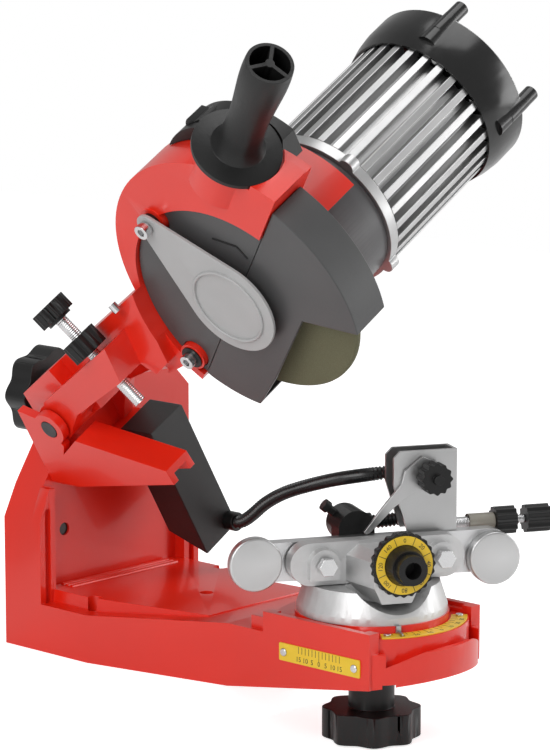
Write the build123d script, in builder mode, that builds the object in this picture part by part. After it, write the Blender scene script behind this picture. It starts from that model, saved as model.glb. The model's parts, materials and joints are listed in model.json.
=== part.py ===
"""Bench chain grinder with a tilting motor head and a hydraulic chain vise.

Millimetres, +Z up.  The origin lies on the bench, midway between the two rear
bolts that fasten the bed.  X runs across the machine and Y towards the column.
Working sizes along Y count from the axis of the vise's turret.
The head is modelled raised and tilted, the vise turned to its sharpening angle.
"""
from build123d import *
from math import cos, pi, radians, sin, sqrt
import os

os.makedirs("parts", exist_ok=True)

# ---------------------------------------------------------------- driving sizes
# Bed and column, one casting
side_x = 49.0            # half width beside the vise
rear_x = 69.0            # half width at the column
nose_radius = 62.0
front_height = 38.0
rear_height = 29.5
taper_start = 70.0       # distance behind the vise axis where the bed widens
taper_end = 168.0
column_front = 216.0
column_depth = 24.0
bed_wall = 6.5
underside_rise = 17.0    # how far the nose is clear of the bench
pad_height = 37.0
bench_bolt_d = 8.5
bench_bolt_x = 55.0      # half spacing of the two rear bench bolts
bench_bolt_y = 175.0
bench_bolt_front = 134.0
shoulder_z = 100.0
column_top = 160.0
cheek_top = 50.0
cheek_half = 41.0
cheek_wall = 8.0

# Tilting cradle under the vise
chain_height = 114.7     # the chain lies here, and the cradle rocks about it
cradle_radius = 96.0
cradle_top = 45.4
cradle_rim = 12.4         # the cradle's disc shows this far round the turret
slide_gap = 0.3
slot_width = 13.0
rock_limit = 15.0

# Turret and vise
vise_angle = 30.0
turret_radius = 44.0
turret_seat = 50.0        # top of the cradle's round boss
turret_ring_height = 17.8
stud_d = 10.0
body_half = 37.0
body_back = 24.0
body_top = 84.0
rail_length = 168.0
rail_middle = 2.0
rail_left_height = 22.6
rail_right_height = 25.6
rail_thickness = 9.0
rail_top = 92.3
chain_slot = 1.6         # gap between the jaws that holds the chain
roller_d = 31.5
roller_width = 7.0
jaw_length = 106.0
jaw_height = 25.0
jaw_thickness = 10.0
jaw_top = 93.4
jaw_travel = 1.5
guide_spacing = 71.5
guide_along = 1.8        # middle of the jaws' two guide bolts
guide_z = 81.4
dial_along = 5.0         # the dial sits a little off the middle of the rail
dial_d = 34.0
dial_z = 84.4
block_along = 2.5
block_reach = 26.0       # how far the dial's block stands out of the jaw
scoop_radius = 28.5      # room for the block in the turret
running_gap = 0.05       # radial clearance of every plain bearing

# Head
head_tilt = 30.6         # lean of the wheel plane from upright
wheel_axis_x = -91.0
wheel_axis_y = 20.7
wheel_axis_z = 241.0
wheel_d = 145.0
wheel_width = 4.7
wheel_bore = 22.2
wheel_station = 14.0     # middle of the wheel behind the guard's face
guard_radius = 83.0
guard_depth = 26.0
guard_wall = 2.5
drum_radius = 88.8
pivot_back = 173.3       # pivot behind the wheel axis, in the wheel plane
pivot_drop = 95.3
pivot_pin_d = 12.0
motor_ring_station = 84.0
motor_d = 97.0
motor_length = 93.0
fin_count = 30
fin_height = 6.5
cap_wall = 4.2
cap_length = 32.0
shaft_d = 14.0

# Tilt clamp
tilt_x = -12.0
tilt_z = 148.0
tilt_stud_d = 12.0
tilt_boss_radius = 17.0
knob_d = 58.0

# ---------------------------------------------------------------- working planes
vise_y = -bench_bolt_y
level = Plane(origin=(0, vise_y, 0), x_dir=(1, 0, 0), z_dir=(0, 0, 1))
lengthwise = Plane(origin=(0, vise_y, 0), x_dir=(0, 1, 0), z_dir=(1, 0, 0))
crosswise = Plane(origin=(0, vise_y, 0), x_dir=(1, 0, 0), z_dir=(0, -1, 0))
turret_axis = Axis((0, vise_y, 0), (0, 0, 1))
head = Plane(
    origin=(wheel_axis_x, vise_y + wheel_axis_y, wheel_axis_z),
    x_dir=(0, 1, 0),
    z_dir=(cos(radians(head_tilt)), 0, sin(radians(head_tilt))),
)
vise = Plane(
    origin=(0, vise_y, 0),
    x_dir=(cos(radians(vise_angle)), -sin(radians(vise_angle)), 0),
    z_dir=(0, 0, 1),
)
back_axis = Axis(vise.origin, vise.y_dir)
wheel_axis = Axis(head.origin, head.z_dir)


def head_point(back, up, station):
    """A point given behind, above and along the wheel axis."""
    return head.from_local_coords(Vector(back, up, station))


def vise_point(along, behind, height):
    """A point given along the rail, behind it and above the bench."""
    return vise.from_local_coords(Vector(along, behind, height))


def plane_at(point, normal, x_dir):
    """A sketch plane through a point."""
    return Plane(origin=point, x_dir=x_dir, z_dir=normal)


def facing_front(along, behind, height):
    """A plane that faces the front of the vise, x along the rail and y up."""
    return plane_at(vise_point(along, behind, height), -vise.y_dir, vise.x_dir)


def facing_rail_end(along, behind, height):
    """A plane that faces along the rail, x to the back and y up."""
    return plane_at(vise_point(along, behind, height), vise.x_dir, vise.y_dir)


def save(part, label):
    """Name a finished piece and write it."""
    part.part.label = label
    export_step(part.part, "parts/" + label + ".step")


def lobed_outline(radius, lobes, depth):
    """The scalloped rim of a hand knob, as one closed spline."""
    count = lobes * 4
    points = []
    for i in range(count):
        angle = 2 * pi * i / count
        reach = radius - depth * (1 - cos(lobes * angle)) / 2
        points.append((reach * cos(angle), reach * sin(angle)))
    Spline(*points, periodic=True)


# ================================================================ bed and column
bench_to_axis = chain_height
nose_y = -sqrt(nose_radius**2 - side_x**2)
rear_y = column_front + column_depth
outline_points = [
    (side_x, nose_y),
    (side_x, taper_start),
    (rear_x, taper_end),
    (rear_x, rear_y),
    (-rear_x, rear_y),
    (-rear_x, taper_end),
    (-side_x, taper_start),
    (-side_x, nose_y),
]
underside_slope = underside_rise / (taper_start - nose_y)
trough_radius = cradle_radius + slide_gap
trough_floor = bench_to_axis - trough_radius
cradle_half = cheek_half - slide_gap
inner_wall_x = side_x - bed_wall
turret_sweep = 2.4       # the turret's rim dips this far below its seat
turret_sweep_half = 34.0

with BuildPart() as base_casting:
    with BuildSketch(level):
        with BuildLine():
            ThreePointArc(outline_points[-1], (0, -nose_radius), outline_points[0])
            Polyline(*outline_points)
        make_face()
    extrude(amount=front_height)
    # the deck falls away behind the vise
    with BuildSketch(lengthwise):
        Polygon(
            (taper_start, front_height),
            (taper_end, rear_height),
            (rear_y, rear_height),
            (rear_y, front_height + 1),
            (taper_start, front_height + 1),
            align=None,
        )
    extrude(amount=rear_x, both=True, mode=Mode.SUBTRACT)
    # cheeks that guide the cradle
    with BuildSketch(level):
        with Locations((-side_x + cheek_wall / 2, 0), (side_x - cheek_wall / 2, 0)):
            Rectangle(cheek_wall, 2 * cheek_half)
    extrude(amount=cheek_top)
    # rebate that the turret's rim swings through as the cradle rocks
    with BuildSketch(level.offset(turret_seat - turret_sweep)):
        Rectangle(2 * (turret_radius + 0.8), 2 * turret_sweep_half)
    extrude(amount=cheek_top, mode=Mode.SUBTRACT)
    # low steps behind the cheeks
    step_length = 13.0
    step_inset = 4.0
    with BuildSketch(level.offset(rear_height)):
        with Locations(
            (-side_x + step_inset + 6, cheek_half + step_length / 2),
            (side_x - step_inset - 6, cheek_half + step_length / 2),
        ):
            Rectangle(12, step_length)
    extrude(amount=cheek_top - 5 - rear_height)
    # raised pad under the head, with bolt bosses
    with BuildSketch(level.offset(rear_height - 4)):
        with BuildLine():
            Polyline(
                (-side_x + 8, 92),
                (side_x - 8, 92),
                (rear_x - 10, 176),
                (rear_x - 10, column_front + 4),
                (-rear_x + 10, column_front + 4),
                (-rear_x + 10, 176),
                (-side_x + 8, 92),
            )
        make_face()
    extrude(amount=pad_height - rear_height + 4, taper=8)
    # hollow underneath
    with BuildSketch(level):
        with BuildLine():
            Polyline(
                (inner_wall_x, 62),
                (inner_wall_x, taper_start),
                (rear_x - bed_wall, taper_end),
                (rear_x - bed_wall, rear_y - bed_wall),
                (-rear_x + bed_wall, rear_y - bed_wall),
                (-rear_x + bed_wall, taper_end),
                (-inner_wall_x, taper_start),
                (-inner_wall_x, 62),
                (inner_wall_x, 62),
            )
        make_face()
    extrude(amount=rear_height - bed_wall, mode=Mode.SUBTRACT)
    # bosses for the bench bolts
    with BuildSketch(level):
        with Locations(
            (-bench_bolt_x, bench_bolt_y),
            (bench_bolt_x, bench_bolt_y),
            (0, bench_bolt_front),
        ):
            Circle(bench_bolt_d * 1.1)
    extrude(amount=rear_height)
    # trough for the cradle, and its underside
    with BuildSketch(lengthwise):
        with Locations((0, bench_to_axis)):
            Circle(trough_radius)
    extrude(amount=cheek_half, both=True, mode=Mode.SUBTRACT)
    with BuildSketch(lengthwise):
        Polygon(
            (taper_start, 0),
            (-nose_radius - 1, (taper_start + nose_radius + 1) * underside_slope),
            (-nose_radius - 1, -1),
            (taper_start, -1),
            align=None,
        )
    extrude(amount=rear_x, both=True, mode=Mode.SUBTRACT)
    with BuildSketch(lengthwise):
        Polygon((62, 0), (62, trough_floor - 1), (-50, trough_floor + 2), (-50, 0), align=None)
        with Locations((0, bench_to_axis)):
            Circle(trough_radius + bed_wall, mode=Mode.SUBTRACT)
    extrude(amount=inner_wall_x, both=True, mode=Mode.SUBTRACT)
    # slot for the clamping stud
    slot_reach = cradle_radius * sin(radians(rock_limit)) + slot_width / 2 + 1
    with BuildSketch(level):
        SlotOverall(2 * slot_reach, slot_width, rotation=90)
    extrude(amount=front_height, mode=Mode.SUBTRACT)
    # column
    with BuildSketch(crosswise.offset(-column_front)):
        with BuildLine():
            Polyline(
                (-rear_x, 0),
                (rear_x, 0),
                (rear_x, column_top - 12),
                (rear_x - 12, column_top),
                (-20, column_top),
                (-38, shoulder_z + 32),
                (-rear_x + 10, shoulder_z),
                (-rear_x, shoulder_z - 20),
                (-rear_x, 0),
            )
        make_face()
        with Locations((tilt_x, tilt_z)):
            Circle(tilt_boss_radius)
    extrude(amount=-column_depth)
    # flanks stand proud of the front wall
    rim = 13.0
    rim_proud = 8.0
    with BuildSketch(crosswise.offset(-column_front + rim_proud)):
        with BuildLine():
            Polyline(
                (-rear_x, 0),
                (-rear_x, shoulder_z - 20),
                (-rear_x + 8, shoulder_z),
                (-rear_x + rim, shoulder_z),
                (-rear_x + rim, 0),
                (-rear_x, 0),
            )
        make_face()
        with BuildLine():
            Polyline(
                (rear_x, 0),
                (rear_x, shoulder_z - 20),
                (rear_x - 8, shoulder_z),
                (rear_x - rim, shoulder_z),
                (rear_x - rim, 0),
                (rear_x, 0),
            )
        make_face()
    extrude(amount=-rim_proud)
    # weight-saving pocket in the back of the column
    with BuildSketch(crosswise.offset(-rear_y)):
        with Locations((0, 56)):
            RectangleRounded(2 * rear_x - 28, 72, 8)
    extrude(amount=column_depth - bed_wall - 2, mode=Mode.SUBTRACT)
    # grooves in the flank rims
    with BuildSketch(crosswise.offset(-column_front + rim_proud)):
        with Locations((-rear_x + 6.5, 58), (rear_x - 6.5, 58)):
            SlotOverall(60, 4.5, rotation=90)
    extrude(amount=-3, mode=Mode.SUBTRACT)
    # holes: tilt stud, cable hole, bench bolts
    with BuildSketch(crosswise.offset(-column_front)):
        with Locations((tilt_x, tilt_z)):
            Circle(tilt_stud_d / 2 + running_gap)
        with Locations((-41, 71)):
            Circle(4)
    extrude(amount=-column_depth, mode=Mode.SUBTRACT)
    with BuildSketch(level):
        with Locations(
            (-bench_bolt_x, bench_bolt_y),
            (bench_bolt_x, bench_bolt_y),
            (0, bench_bolt_front),
        ):
            Circle(bench_bolt_d / 2)
    extrude(amount=front_height + 10, mode=Mode.SUBTRACT)
save(base_casting, "base_casting")

# ---------------------------------------------------------------- side scale plate
plate_length = 62.0
plate_height = 10.5
plate_thickness = 0.8
plate_z = 29.0
plate_y = -3.4
screw_inset = 4.0
with BuildPart() as side_scale:
    with BuildSketch(lengthwise.offset(-side_x - plate_thickness)):
        with Locations((plate_y, plate_z)):
            RectangleRounded(plate_length, plate_height, 0.8)
    extrude(amount=plate_thickness)
save(side_scale, "side_scale")

with BuildPart() as side_scale_screws:
    with BuildSketch(lengthwise.offset(-side_x - plate_thickness)):
        with Locations(
            (plate_y - plate_length / 2 + screw_inset, plate_z),
            (plate_y + plate_length / 2 - screw_inset, plate_z),
        ):
            Circle(2.4)
    extrude(amount=-1.3)
    chamfer(side_scale_screws.edges().group_by(Axis.X)[0], 0.5)
save(side_scale_screws, "side_scale_screws")

# ================================================================ tilting cradle
boss_radius = turret_radius + 1.0
cradle_disc_radius = turret_radius + cradle_rim
with BuildPart() as vise_cradle:
    with BuildSketch(level.offset(trough_floor)):
        Circle(cradle_disc_radius)
        Rectangle(2 * cradle_half, 2 * cradle_disc_radius, mode=Mode.INTERSECT)
    extrude(amount=cradle_top - trough_floor)
    with BuildSketch(lengthwise):
        with Locations((0, bench_to_axis)):
            Circle(cradle_radius)
    extrude(amount=cradle_half, both=True, mode=Mode.INTERSECT)
    with BuildSketch(level.offset(cradle_top)):
        Circle(boss_radius)
        Rectangle(2 * cradle_half, 2 * boss_radius, mode=Mode.INTERSECT)
    extrude(amount=turret_seat - cradle_top)
    # clear hole for the clamping stud
    with BuildSketch(level):
        Circle(stud_d / 2 + running_gap)
    extrude(amount=turret_seat, mode=Mode.SUBTRACT)
save(vise_cradle, "vise_cradle")

arc_scale_inner = turret_radius + 2
arc_scale_outer = turret_radius + 11.5
arc_scale_half = 43.0
arc_screw_radius = turret_radius + 6.8
arc_screw_angle = 39.0
with BuildPart() as arc_scale:
    with BuildSketch(level.offset(cradle_top)):
        with BuildLine():
            far = 2 * cradle_disc_radius
            sweep_x = far * sin(radians(arc_scale_half))
            sweep_y = -far * cos(radians(arc_scale_half))
            Polyline((0, 0), (sweep_x, sweep_y), (-sweep_x, sweep_y), (0, 0))
        make_face()
        Circle(arc_scale_outer, mode=Mode.INTERSECT)
        Circle(arc_scale_inner, mode=Mode.SUBTRACT)
    extrude(amount=plate_thickness)
save(arc_scale, "arc_scale")

with BuildPart() as arc_scale_screws:
    with BuildSketch(level.offset(cradle_top + plate_thickness)):
        with PolarLocations(arc_screw_radius, 2, -90 - arc_screw_angle, 4 * arc_screw_angle):
            Circle(2.2)
    extrude(amount=1.3)
save(arc_scale_screws, "arc_scale_screws")

# ---------------------------------------------------------------- clamping stud and knob
stud_bottom = -10.0
ring_top = turret_seat + turret_ring_height
stud_top = ring_top - 6.4
with BuildPart() as clamp_stud:
    with BuildSketch(level.offset(stud_bottom)):
        Circle(stud_d / 2)
    extrude(amount=stud_top - stud_bottom)
save(clamp_stud, "clamp_stud")

knob_hub_d = 27.0
knob_top = trough_floor - bed_wall - 3.5
knob_rim_top = -8.5
knob_thickness = 18.0
with BuildPart() as clamp_knob:
    with BuildSketch(level.offset(knob_rim_top - knob_thickness)):
        with BuildLine():
            lobed_outline(knob_d / 2, 8, 3.4)
        make_face()
    extrude(amount=knob_thickness)
    with BuildSketch(level.offset(knob_rim_top)):
        Circle(knob_hub_d / 2)
    extrude(amount=knob_top - knob_rim_top - 0.1)
    with BuildSketch(level.offset(stud_bottom - 0.3)):
        Circle(stud_d / 2 + running_gap)
    extrude(amount=knob_top - stud_bottom + 0.3, mode=Mode.SUBTRACT)
    with BuildSketch(level.offset(knob_rim_top - knob_thickness)):
        Circle(knob_d / 2 - 9)
    extrude(amount=4, mode=Mode.SUBTRACT)
save(clamp_knob, "clamp_knob")

# curved washer between the knob and the underside of the trough
with BuildPart() as clamp_washer:
    with BuildSketch(level.offset(knob_top)):
        RectangleRounded(30, 18, 3)
    extrude(amount=8)
    with BuildSketch(lengthwise):
        with Locations((0, bench_to_axis)):
            Circle(trough_radius + bed_wall + slide_gap)
    extrude(amount=20, both=True, mode=Mode.SUBTRACT)
    with BuildSketch(level):
        Circle(stud_d / 2 + running_gap)
    extrude(amount=20, mode=Mode.SUBTRACT)
save(clamp_washer, "clamp_washer")

# ================================================================ turret
slot_half = chain_slot / 2
rail_left = rail_middle - rail_length / 2
rail_right = rail_middle + rail_length / 2


def rail_outline():
    """Outline of the rear jaw below its level top, deeper at the right end."""
    with Locations((rail_left + rail_left_height / 2, -rail_left_height / 2)):
        Circle(rail_left_height / 2)
    with Locations((rail_right - rail_right_height / 2, -rail_right_height / 2)):
        Circle(rail_right_height / 2)
    make_hull()


with BuildPart() as turret:
    with BuildSketch(crosswise):
        with BuildLine():
            Polyline(
                (stud_d / 2 + running_gap, turret_seat),
                (turret_radius, turret_seat),
                (turret_radius, turret_seat + 4),
                (turret_radius - 4.5, ring_top),
                (0, ring_top),
                (0, stud_top + 0.4),
                (stud_d / 2 + running_gap, stud_top + 0.4),
                (stud_d / 2 + running_gap, turret_seat),
            )
        make_face()
    revolve(axis=turret_axis)
    # block behind the rear jaw
    block_middle = slot_half + rail_thickness + (body_back - rail_thickness) / 2
    with BuildSketch(vise.offset(ring_top - 6)):
        with Locations((0, block_middle)):
            RectangleRounded(2 * body_half, body_back - rail_thickness, 4)
    extrude(amount=body_top - ring_top + 6)
    # foot under the rear jaw, cut to its outline
    with BuildSketch(vise.offset(ring_top - 2)):
        with Locations((0, slot_half + rail_thickness / 2 + 1)):
            Rectangle(2 * body_half - 12, rail_thickness + 2)
    extrude(amount=rail_top - rail_left_height / 2 - ring_top + 2)
    with BuildSketch(facing_front(0, slot_half + rail_thickness, rail_top)):
        rail_outline()
    extrude(amount=rail_thickness, mode=Mode.SUBTRACT)
    # scoop for the dial's block
    with BuildSketch(facing_front(block_along, -slot_half - jaw_thickness + 0.3, dial_z)):
        Circle(scoop_radius)
    extrude(amount=turret_radius, mode=Mode.SUBTRACT)
save(turret, "turret")

pointer_reach = turret_radius + 10
with BuildPart() as angle_pointer:
    with BuildSketch(vise.offset(cradle_top + plate_thickness + slide_gap)):
        with BuildLine():
            Polyline(
                (-1.5, -turret_radius - 1.5),
                (1.5, -turret_radius - 1.5),
                (0.4, -pointer_reach),
                (-0.4, -pointer_reach),
                (-1.5, -turret_radius - 1.5),
            )
        make_face()
    extrude(amount=1.2)
    with BuildSketch(vise.offset(turret_seat + 0.6)):
        with Locations((0, -turret_radius - 1.6)):
            Rectangle(3, 3.4)
    extrude(amount=-(turret_seat - cradle_top - plate_thickness - slide_gap + 0.6))
    with BuildSketch(level):
        Circle(boss_radius + slide_gap)
    extrude(amount=turret_seat, mode=Mode.SUBTRACT)
    with BuildSketch(level.offset(turret_seat)):
        Circle(turret_radius)
    extrude(amount=10, mode=Mode.SUBTRACT)
save(angle_pointer, "angle_pointer")

# ---------------------------------------------------------------- rear jaw, fixed
guide_places = ((guide_along - guide_spacing / 2, guide_z), (guide_along + guide_spacing / 2, guide_z))
with BuildPart() as rear_jaw:
    with BuildSketch(facing_front(0, slot_half + rail_thickness, rail_top)):
        rail_outline()
    extrude(amount=rail_thickness)
    # tapped holes for the guide bolts and the dial's screw
    with BuildSketch(facing_front(0, 0, 0)):
        with Locations(*guide_places):
            Circle(3 + running_gap)
        with Locations((dial_along, dial_z)):
            Circle(5 + running_gap)
    extrude(amount=-rail_thickness - 5, mode=Mode.SUBTRACT)
save(rear_jaw, "rear_jaw")

# ---------------------------------------------------------------- front jaw, moving
jaw_front = slot_half + jaw_thickness
jaw_middle = jaw_top - jaw_height / 2
block_base = [(-22, -14), (-12, -23.4), (12, -23.4), (22, -14), (22, 1), (15, 7), (-15, 7), (-22, 1)]
block_nose = [(-13.5, -14), (-9, -23.4), (9, -23.4), (13.5, -14), (13.5, 1), (8, 5.5), (-8, 5.5), (-13.5, 1)]
bolt_boss = 9.0
bolt_boss_reach = 6.0
with BuildPart() as front_jaw:
    with BuildSketch(facing_front(0, -slot_half, jaw_middle)):
        SlotOverall(jaw_length, jaw_height)
    extrude(amount=jaw_thickness)
    # block that carries the dial, narrowing to the front
    with BuildSketch(facing_front(block_along, -jaw_front, dial_z)):
        Polygon(*block_base, align=None)
    with BuildSketch(facing_front(block_along, -jaw_front - block_reach, dial_z)):
        Polygon(*block_nose, align=None)
    loft()
    # bosses of the guide bolts: round above, square below
    with BuildSketch(facing_front(0, -jaw_front, 0)):
        with Locations(*guide_places):
            Circle(bolt_boss)
        with Locations(*((along, height - bolt_boss / 2) for along, height in guide_places)):
            Rectangle(2 * bolt_boss, bolt_boss)
    extrude(amount=bolt_boss_reach)
    # guide and screw bores
    with BuildSketch(facing_front(0, 0, 0)):
        with Locations(*guide_places):
            Circle(3 + running_gap)
        with Locations((dial_along, dial_z)):
            Circle(5 + running_gap)
    extrude(amount=60, mode=Mode.SUBTRACT)
save(front_jaw, "front_jaw")

bolt_head_across = 10.0
with BuildPart() as jaw_guide_bolts:
    bolt_seat = jaw_front + bolt_boss_reach + jaw_travel + 0.3
    with BuildSketch(facing_front(0, -bolt_seat, 0)):
        with Locations(*guide_places):
            RegularPolygon(bolt_head_across / 2, 6, major_radius=False)
    extrude(amount=5)
    with BuildSketch(facing_front(0, -bolt_seat, 0)):
        with Locations(*guide_places):
            Circle(3)
    extrude(amount=-(bolt_seat + slot_half + rail_thickness - 1))
save(jaw_guide_bolts, "jaw_guide_bolts")

# ---------------------------------------------------------------- width dial
dial_plane_reach = jaw_front + block_reach + slide_gap
dial_rim_d = dial_d + 4
dial_hub_d = 24.0
with BuildPart() as width_dial:
    with BuildSketch(facing_front(dial_along, -dial_plane_reach, dial_z)):
        with BuildLine():
            lobed_outline(dial_rim_d / 2, 24, 1.0)
        make_face()
    extrude(amount=4.5)
    with BuildSketch(facing_front(dial_along, -dial_plane_reach - 4.5, dial_z)):
        Circle(dial_hub_d / 2)
    extrude(amount=9, taper=12)
    # screw shank into the jaws
    with BuildSketch(facing_front(dial_along, -dial_plane_reach, dial_z)):
        Circle(5)
    extrude(amount=-(dial_plane_reach + slot_half + rail_thickness - 1))
    with BuildSketch(facing_front(dial_along, -dial_plane_reach - 13, dial_z)):
        Circle(8.65)
    extrude(amount=7)
    with BuildSketch(facing_front(dial_along, -dial_plane_reach - 20, dial_z)):
        Circle(4.9)
    extrude(amount=-12, mode=Mode.SUBTRACT)
save(width_dial, "width_dial")

with BuildPart() as dial_face:
    with BuildSketch(facing_front(dial_along, -dial_plane_reach - 4.5, dial_z)):
        Circle(dial_d / 2)
        Circle(dial_hub_d / 2, mode=Mode.SUBTRACT)
    extrude(amount=0.8)
save(dial_face, "dial_face")

# ---------------------------------------------------------------- chain rollers
roller_gap = 0.3
roller_places = ((rail_left + 10, rail_top - 10.5), (rail_right - 12, rail_top - 16.5))
for (roller_along, roller_z), name in zip(roller_places, ("left", "right")):
    with BuildPart() as roller:
        with BuildSketch(facing_front(roller_along, slot_half - roller_gap, roller_z)):
            Circle(roller_d / 2)
        extrude(amount=roller_width)
        chamfer(roller.edges().filter_by(GeomType.CIRCLE).group_by(SortBy.RADIUS)[-1], 0.8)
        with BuildSketch(facing_front(roller_along, slot_half - roller_gap, roller_z)):
            Circle(4 + running_gap)
        extrude(amount=roller_width - 1.5, mode=Mode.SUBTRACT)
    save(roller, "chain_roller_" + name)
with BuildPart() as roller_pins:
    with BuildSketch(facing_front(0, slot_half, 0)):
        with Locations(*roller_places):
            Circle(4)
    extrude(amount=roller_width + roller_gap - 1.8)
save(roller_pins, "roller_pins")

# ---------------------------------------------------------------- chain stop
channel_left = 14.0
channel_right = 53.0
channel_front = 3.0
channel_back = 19.0
channel_wall = 2.0
channel_top = 141.0
stop_axis_z = 92.6
stop_behind = 19.5
stop_rod_d = 5.0
stop_knob_d = 17.0
lug_length = 7.0
sleeve_length = 29.0
lock_length = 13.0
with BuildPart() as stop_channel:
    with BuildSketch(facing_front(0, channel_back, rail_top)):
        with BuildLine():
            Polyline(
                (channel_left + 9, 0),
                (channel_right, 0),
                (channel_right, channel_top - rail_top),
                (channel_left + 4, channel_top - rail_top),
                (channel_left, channel_top - rail_top - 4),
                (channel_left, channel_top - rail_top - 20),
                (channel_left + 9, 0),
            )
        make_face()
    extrude(amount=channel_back - channel_front)
    # hollow, open on the side away from the web
    with BuildSketch(facing_front(0, channel_back - channel_wall, rail_top)):
        with Locations((channel_left - channel_wall, (channel_top - rail_top) / 2)):
            Rectangle(2 * (channel_right - channel_left), channel_top - rail_top + 2)
    extrude(amount=channel_back - channel_front - 2 * channel_wall, mode=Mode.SUBTRACT)
    # lug that the stop screw runs in
    with BuildSketch(facing_rail_end(channel_right, stop_behind, stop_axis_z)):
        Circle(5.5)
    extrude(amount=-lug_length)
    # pivot hole, screw hole and the groove behind it
    with BuildSketch(facing_front(36, channel_back, 126)):
        Circle(3 + running_gap)
    extrude(amount=channel_back - channel_front, mode=Mode.SUBTRACT)
    with BuildSketch(facing_rail_end(channel_left, stop_behind, stop_axis_z)):
        Circle(stop_rod_d / 2 + running_gap)
    extrude(amount=channel_right - channel_left, mode=Mode.SUBTRACT)
save(stop_channel, "stop_channel")

pawl_thickness = 2.5
with BuildPart() as chain_stop:
    with BuildSketch(facing_front(0, channel_front - slide_gap, 0)):
        with BuildLine():
            Polyline(
                (40, 121),
                (43, 132),
                (31, 138),
                (20, 130),
                (18, 122),
                (9, 112),
                (-5, 95.2),
                (-3.6, 93.6),
                (-1, 94.8),
                (14, 109),
                (24, 116),
                (40, 121),
            )
        make_face()
        with Locations((36, 126)):
            Circle(3 + running_gap, mode=Mode.SUBTRACT)
    extrude(amount=pawl_thickness)
save(chain_stop, "chain_stop")

with BuildPart() as stop_knob:
    knob_station = channel_front - slide_gap - pawl_thickness - slide_gap
    with BuildSketch(facing_front(36, knob_station, 126)):
        with BuildLine():
            lobed_outline(9.5, 12, 1.2)
        make_face()
    extrude(amount=11)
    with BuildSketch(facing_front(36, knob_station, 126)):
        Circle(3)
    extrude(amount=knob_station - channel_front - channel_wall - 1.5)
    with BuildSketch(facing_front(36, knob_station - 11, 126)):
        Circle(3)
    extrude(amount=3)
save(stop_knob, "stop_knob")

# stop screw along the rail, its lock knob and sleeve
with BuildPart() as stop_sleeve:
    with BuildSketch(facing_rail_end(channel_right, stop_behind, stop_axis_z)):
        Circle(3.6)
    extrude(amount=sleeve_length)
    with BuildSketch(facing_rail_end(channel_right + 13, stop_behind, stop_axis_z)):
        Circle(5.1)
    extrude(amount=sleeve_length - 13)
    with BuildSketch(facing_rail_end(channel_right, stop_behind, stop_axis_z)):
        Circle(stop_rod_d / 2 + running_gap)
    extrude(amount=sleeve_length, mode=Mode.SUBTRACT)
save(stop_sleeve, "stop_sleeve")

lock_start = channel_right + sleeve_length + slide_gap
with BuildPart() as stop_lock_knob:
    with BuildSketch(facing_rail_end(lock_start, stop_behind, stop_axis_z)):
        with BuildLine():
            lobed_outline(stop_knob_d / 2, 12, 1.2)
        make_face()
        Circle(stop_rod_d / 2 + running_gap, mode=Mode.SUBTRACT)
    extrude(amount=lock_length)
save(stop_lock_knob, "stop_lock_knob")

end_start = lock_start + lock_length + 6.7
with BuildPart() as stop_screw:
    with BuildSketch(facing_rail_end(channel_right - 12, stop_behind, stop_axis_z)):
        Circle(stop_rod_d / 2)
    extrude(amount=end_start - channel_right + 13)
    with BuildSketch(facing_rail_end(end_start, stop_behind, stop_axis_z)):
        with BuildLine():
            lobed_outline(stop_knob_d / 2, 12, 1.2)
        make_face()
    extrude(amount=15)
save(stop_screw, "stop_screw")

# ---------------------------------------------------------------- slave cylinder
cylinder_d = 22.0
cylinder_along = -6.0
cylinder_front = slot_half + rail_thickness + 0.5
cylinder_z = body_top + cylinder_d / 2
with BuildPart() as slave_cylinder:
    with BuildSketch(facing_front(cylinder_along, cylinder_front, cylinder_z)):
        Circle(cylinder_d / 2)
    extrude(amount=-26)
    with BuildSketch(facing_front(cylinder_along, cylinder_front, cylinder_z)):
        with Locations((0, -cylinder_d / 4)):
            Rectangle(cylinder_d, cylinder_d / 2)
    extrude(amount=-14)
    fillet(slave_cylinder.faces().sort_by(back_axis)[-1].edges(), 2)
    # side port for the hose
    with BuildSketch(facing_rail_end(cylinder_along, cylinder_front + 17, cylinder_z)):
        Circle(5.5)
    extrude(amount=14)
save(slave_cylinder, "slave_cylinder")

with BuildPart() as bleed_nipple:
    nipple_plane = plane_at(
        vise_point(cylinder_along - 8.5, cylinder_front + 16, cylinder_z + 7.08),
        Vector(0, 0, 1) * 0.64 - vise.x_dir * 0.768,
        vise.y_dir,
    )
    with BuildSketch(nipple_plane):
        Circle(2.6)
    extrude(amount=8)
    with BuildSketch(nipple_plane.offset(5)):
        Circle(3.6)
    extrude(amount=4)
save(bleed_nipple, "bleed_nipple")


# ================================================================ motor head
def facing_forward(back):
    """A plane that faces the front, x along the wheel axis and y up the wheel plane."""
    return plane_at(head_point(back, 0, 0), Vector(0, -1, 0), head.z_dir)


seam_angle = 48.5        # the guard's seam, above the forward direction
drum_back = 5.0          # the drum's middle, behind and below the wheel axis
drum_up = -12.0
drum_inner = 71.0
drum_outer = (-7.0, 3.2)  # middle of the drum's outside
drum_wall = 5.0
back_plate_front = guard_depth + slide_gap
back_plate = 6.5
arm_slope = 33.3
bell_front = back_plate_front + back_plate
pivot = (pivot_back, -pivot_drop)
arm_near = -29.0
arm_far = 24.0
spring_radius = 8.2      # middle of the return spring's wire
spring_wire = 1.6
spring_pocket = 10.0
seam_u = 160 * sin(radians(seam_angle))
seam_b = 160 * cos(radians(seam_angle))

# screw that sets the grinding depth
screw_tip = (93.0, -71.2)
screw_station = -24.0
screw_lean = (sin(radians(arm_slope)), cos(radians(arm_slope)))


def screw_plane(distance):
    """A plane across the depth screw, a distance above its tip."""
    back = screw_tip[0] + distance * screw_lean[0]
    up = screw_tip[1] + distance * screw_lean[1]
    normal = head.x_dir * screw_lean[0] + head.y_dir * screw_lean[1]
    return plane_at(head_point(back, up, screw_station), normal, head.z_dir)


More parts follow.
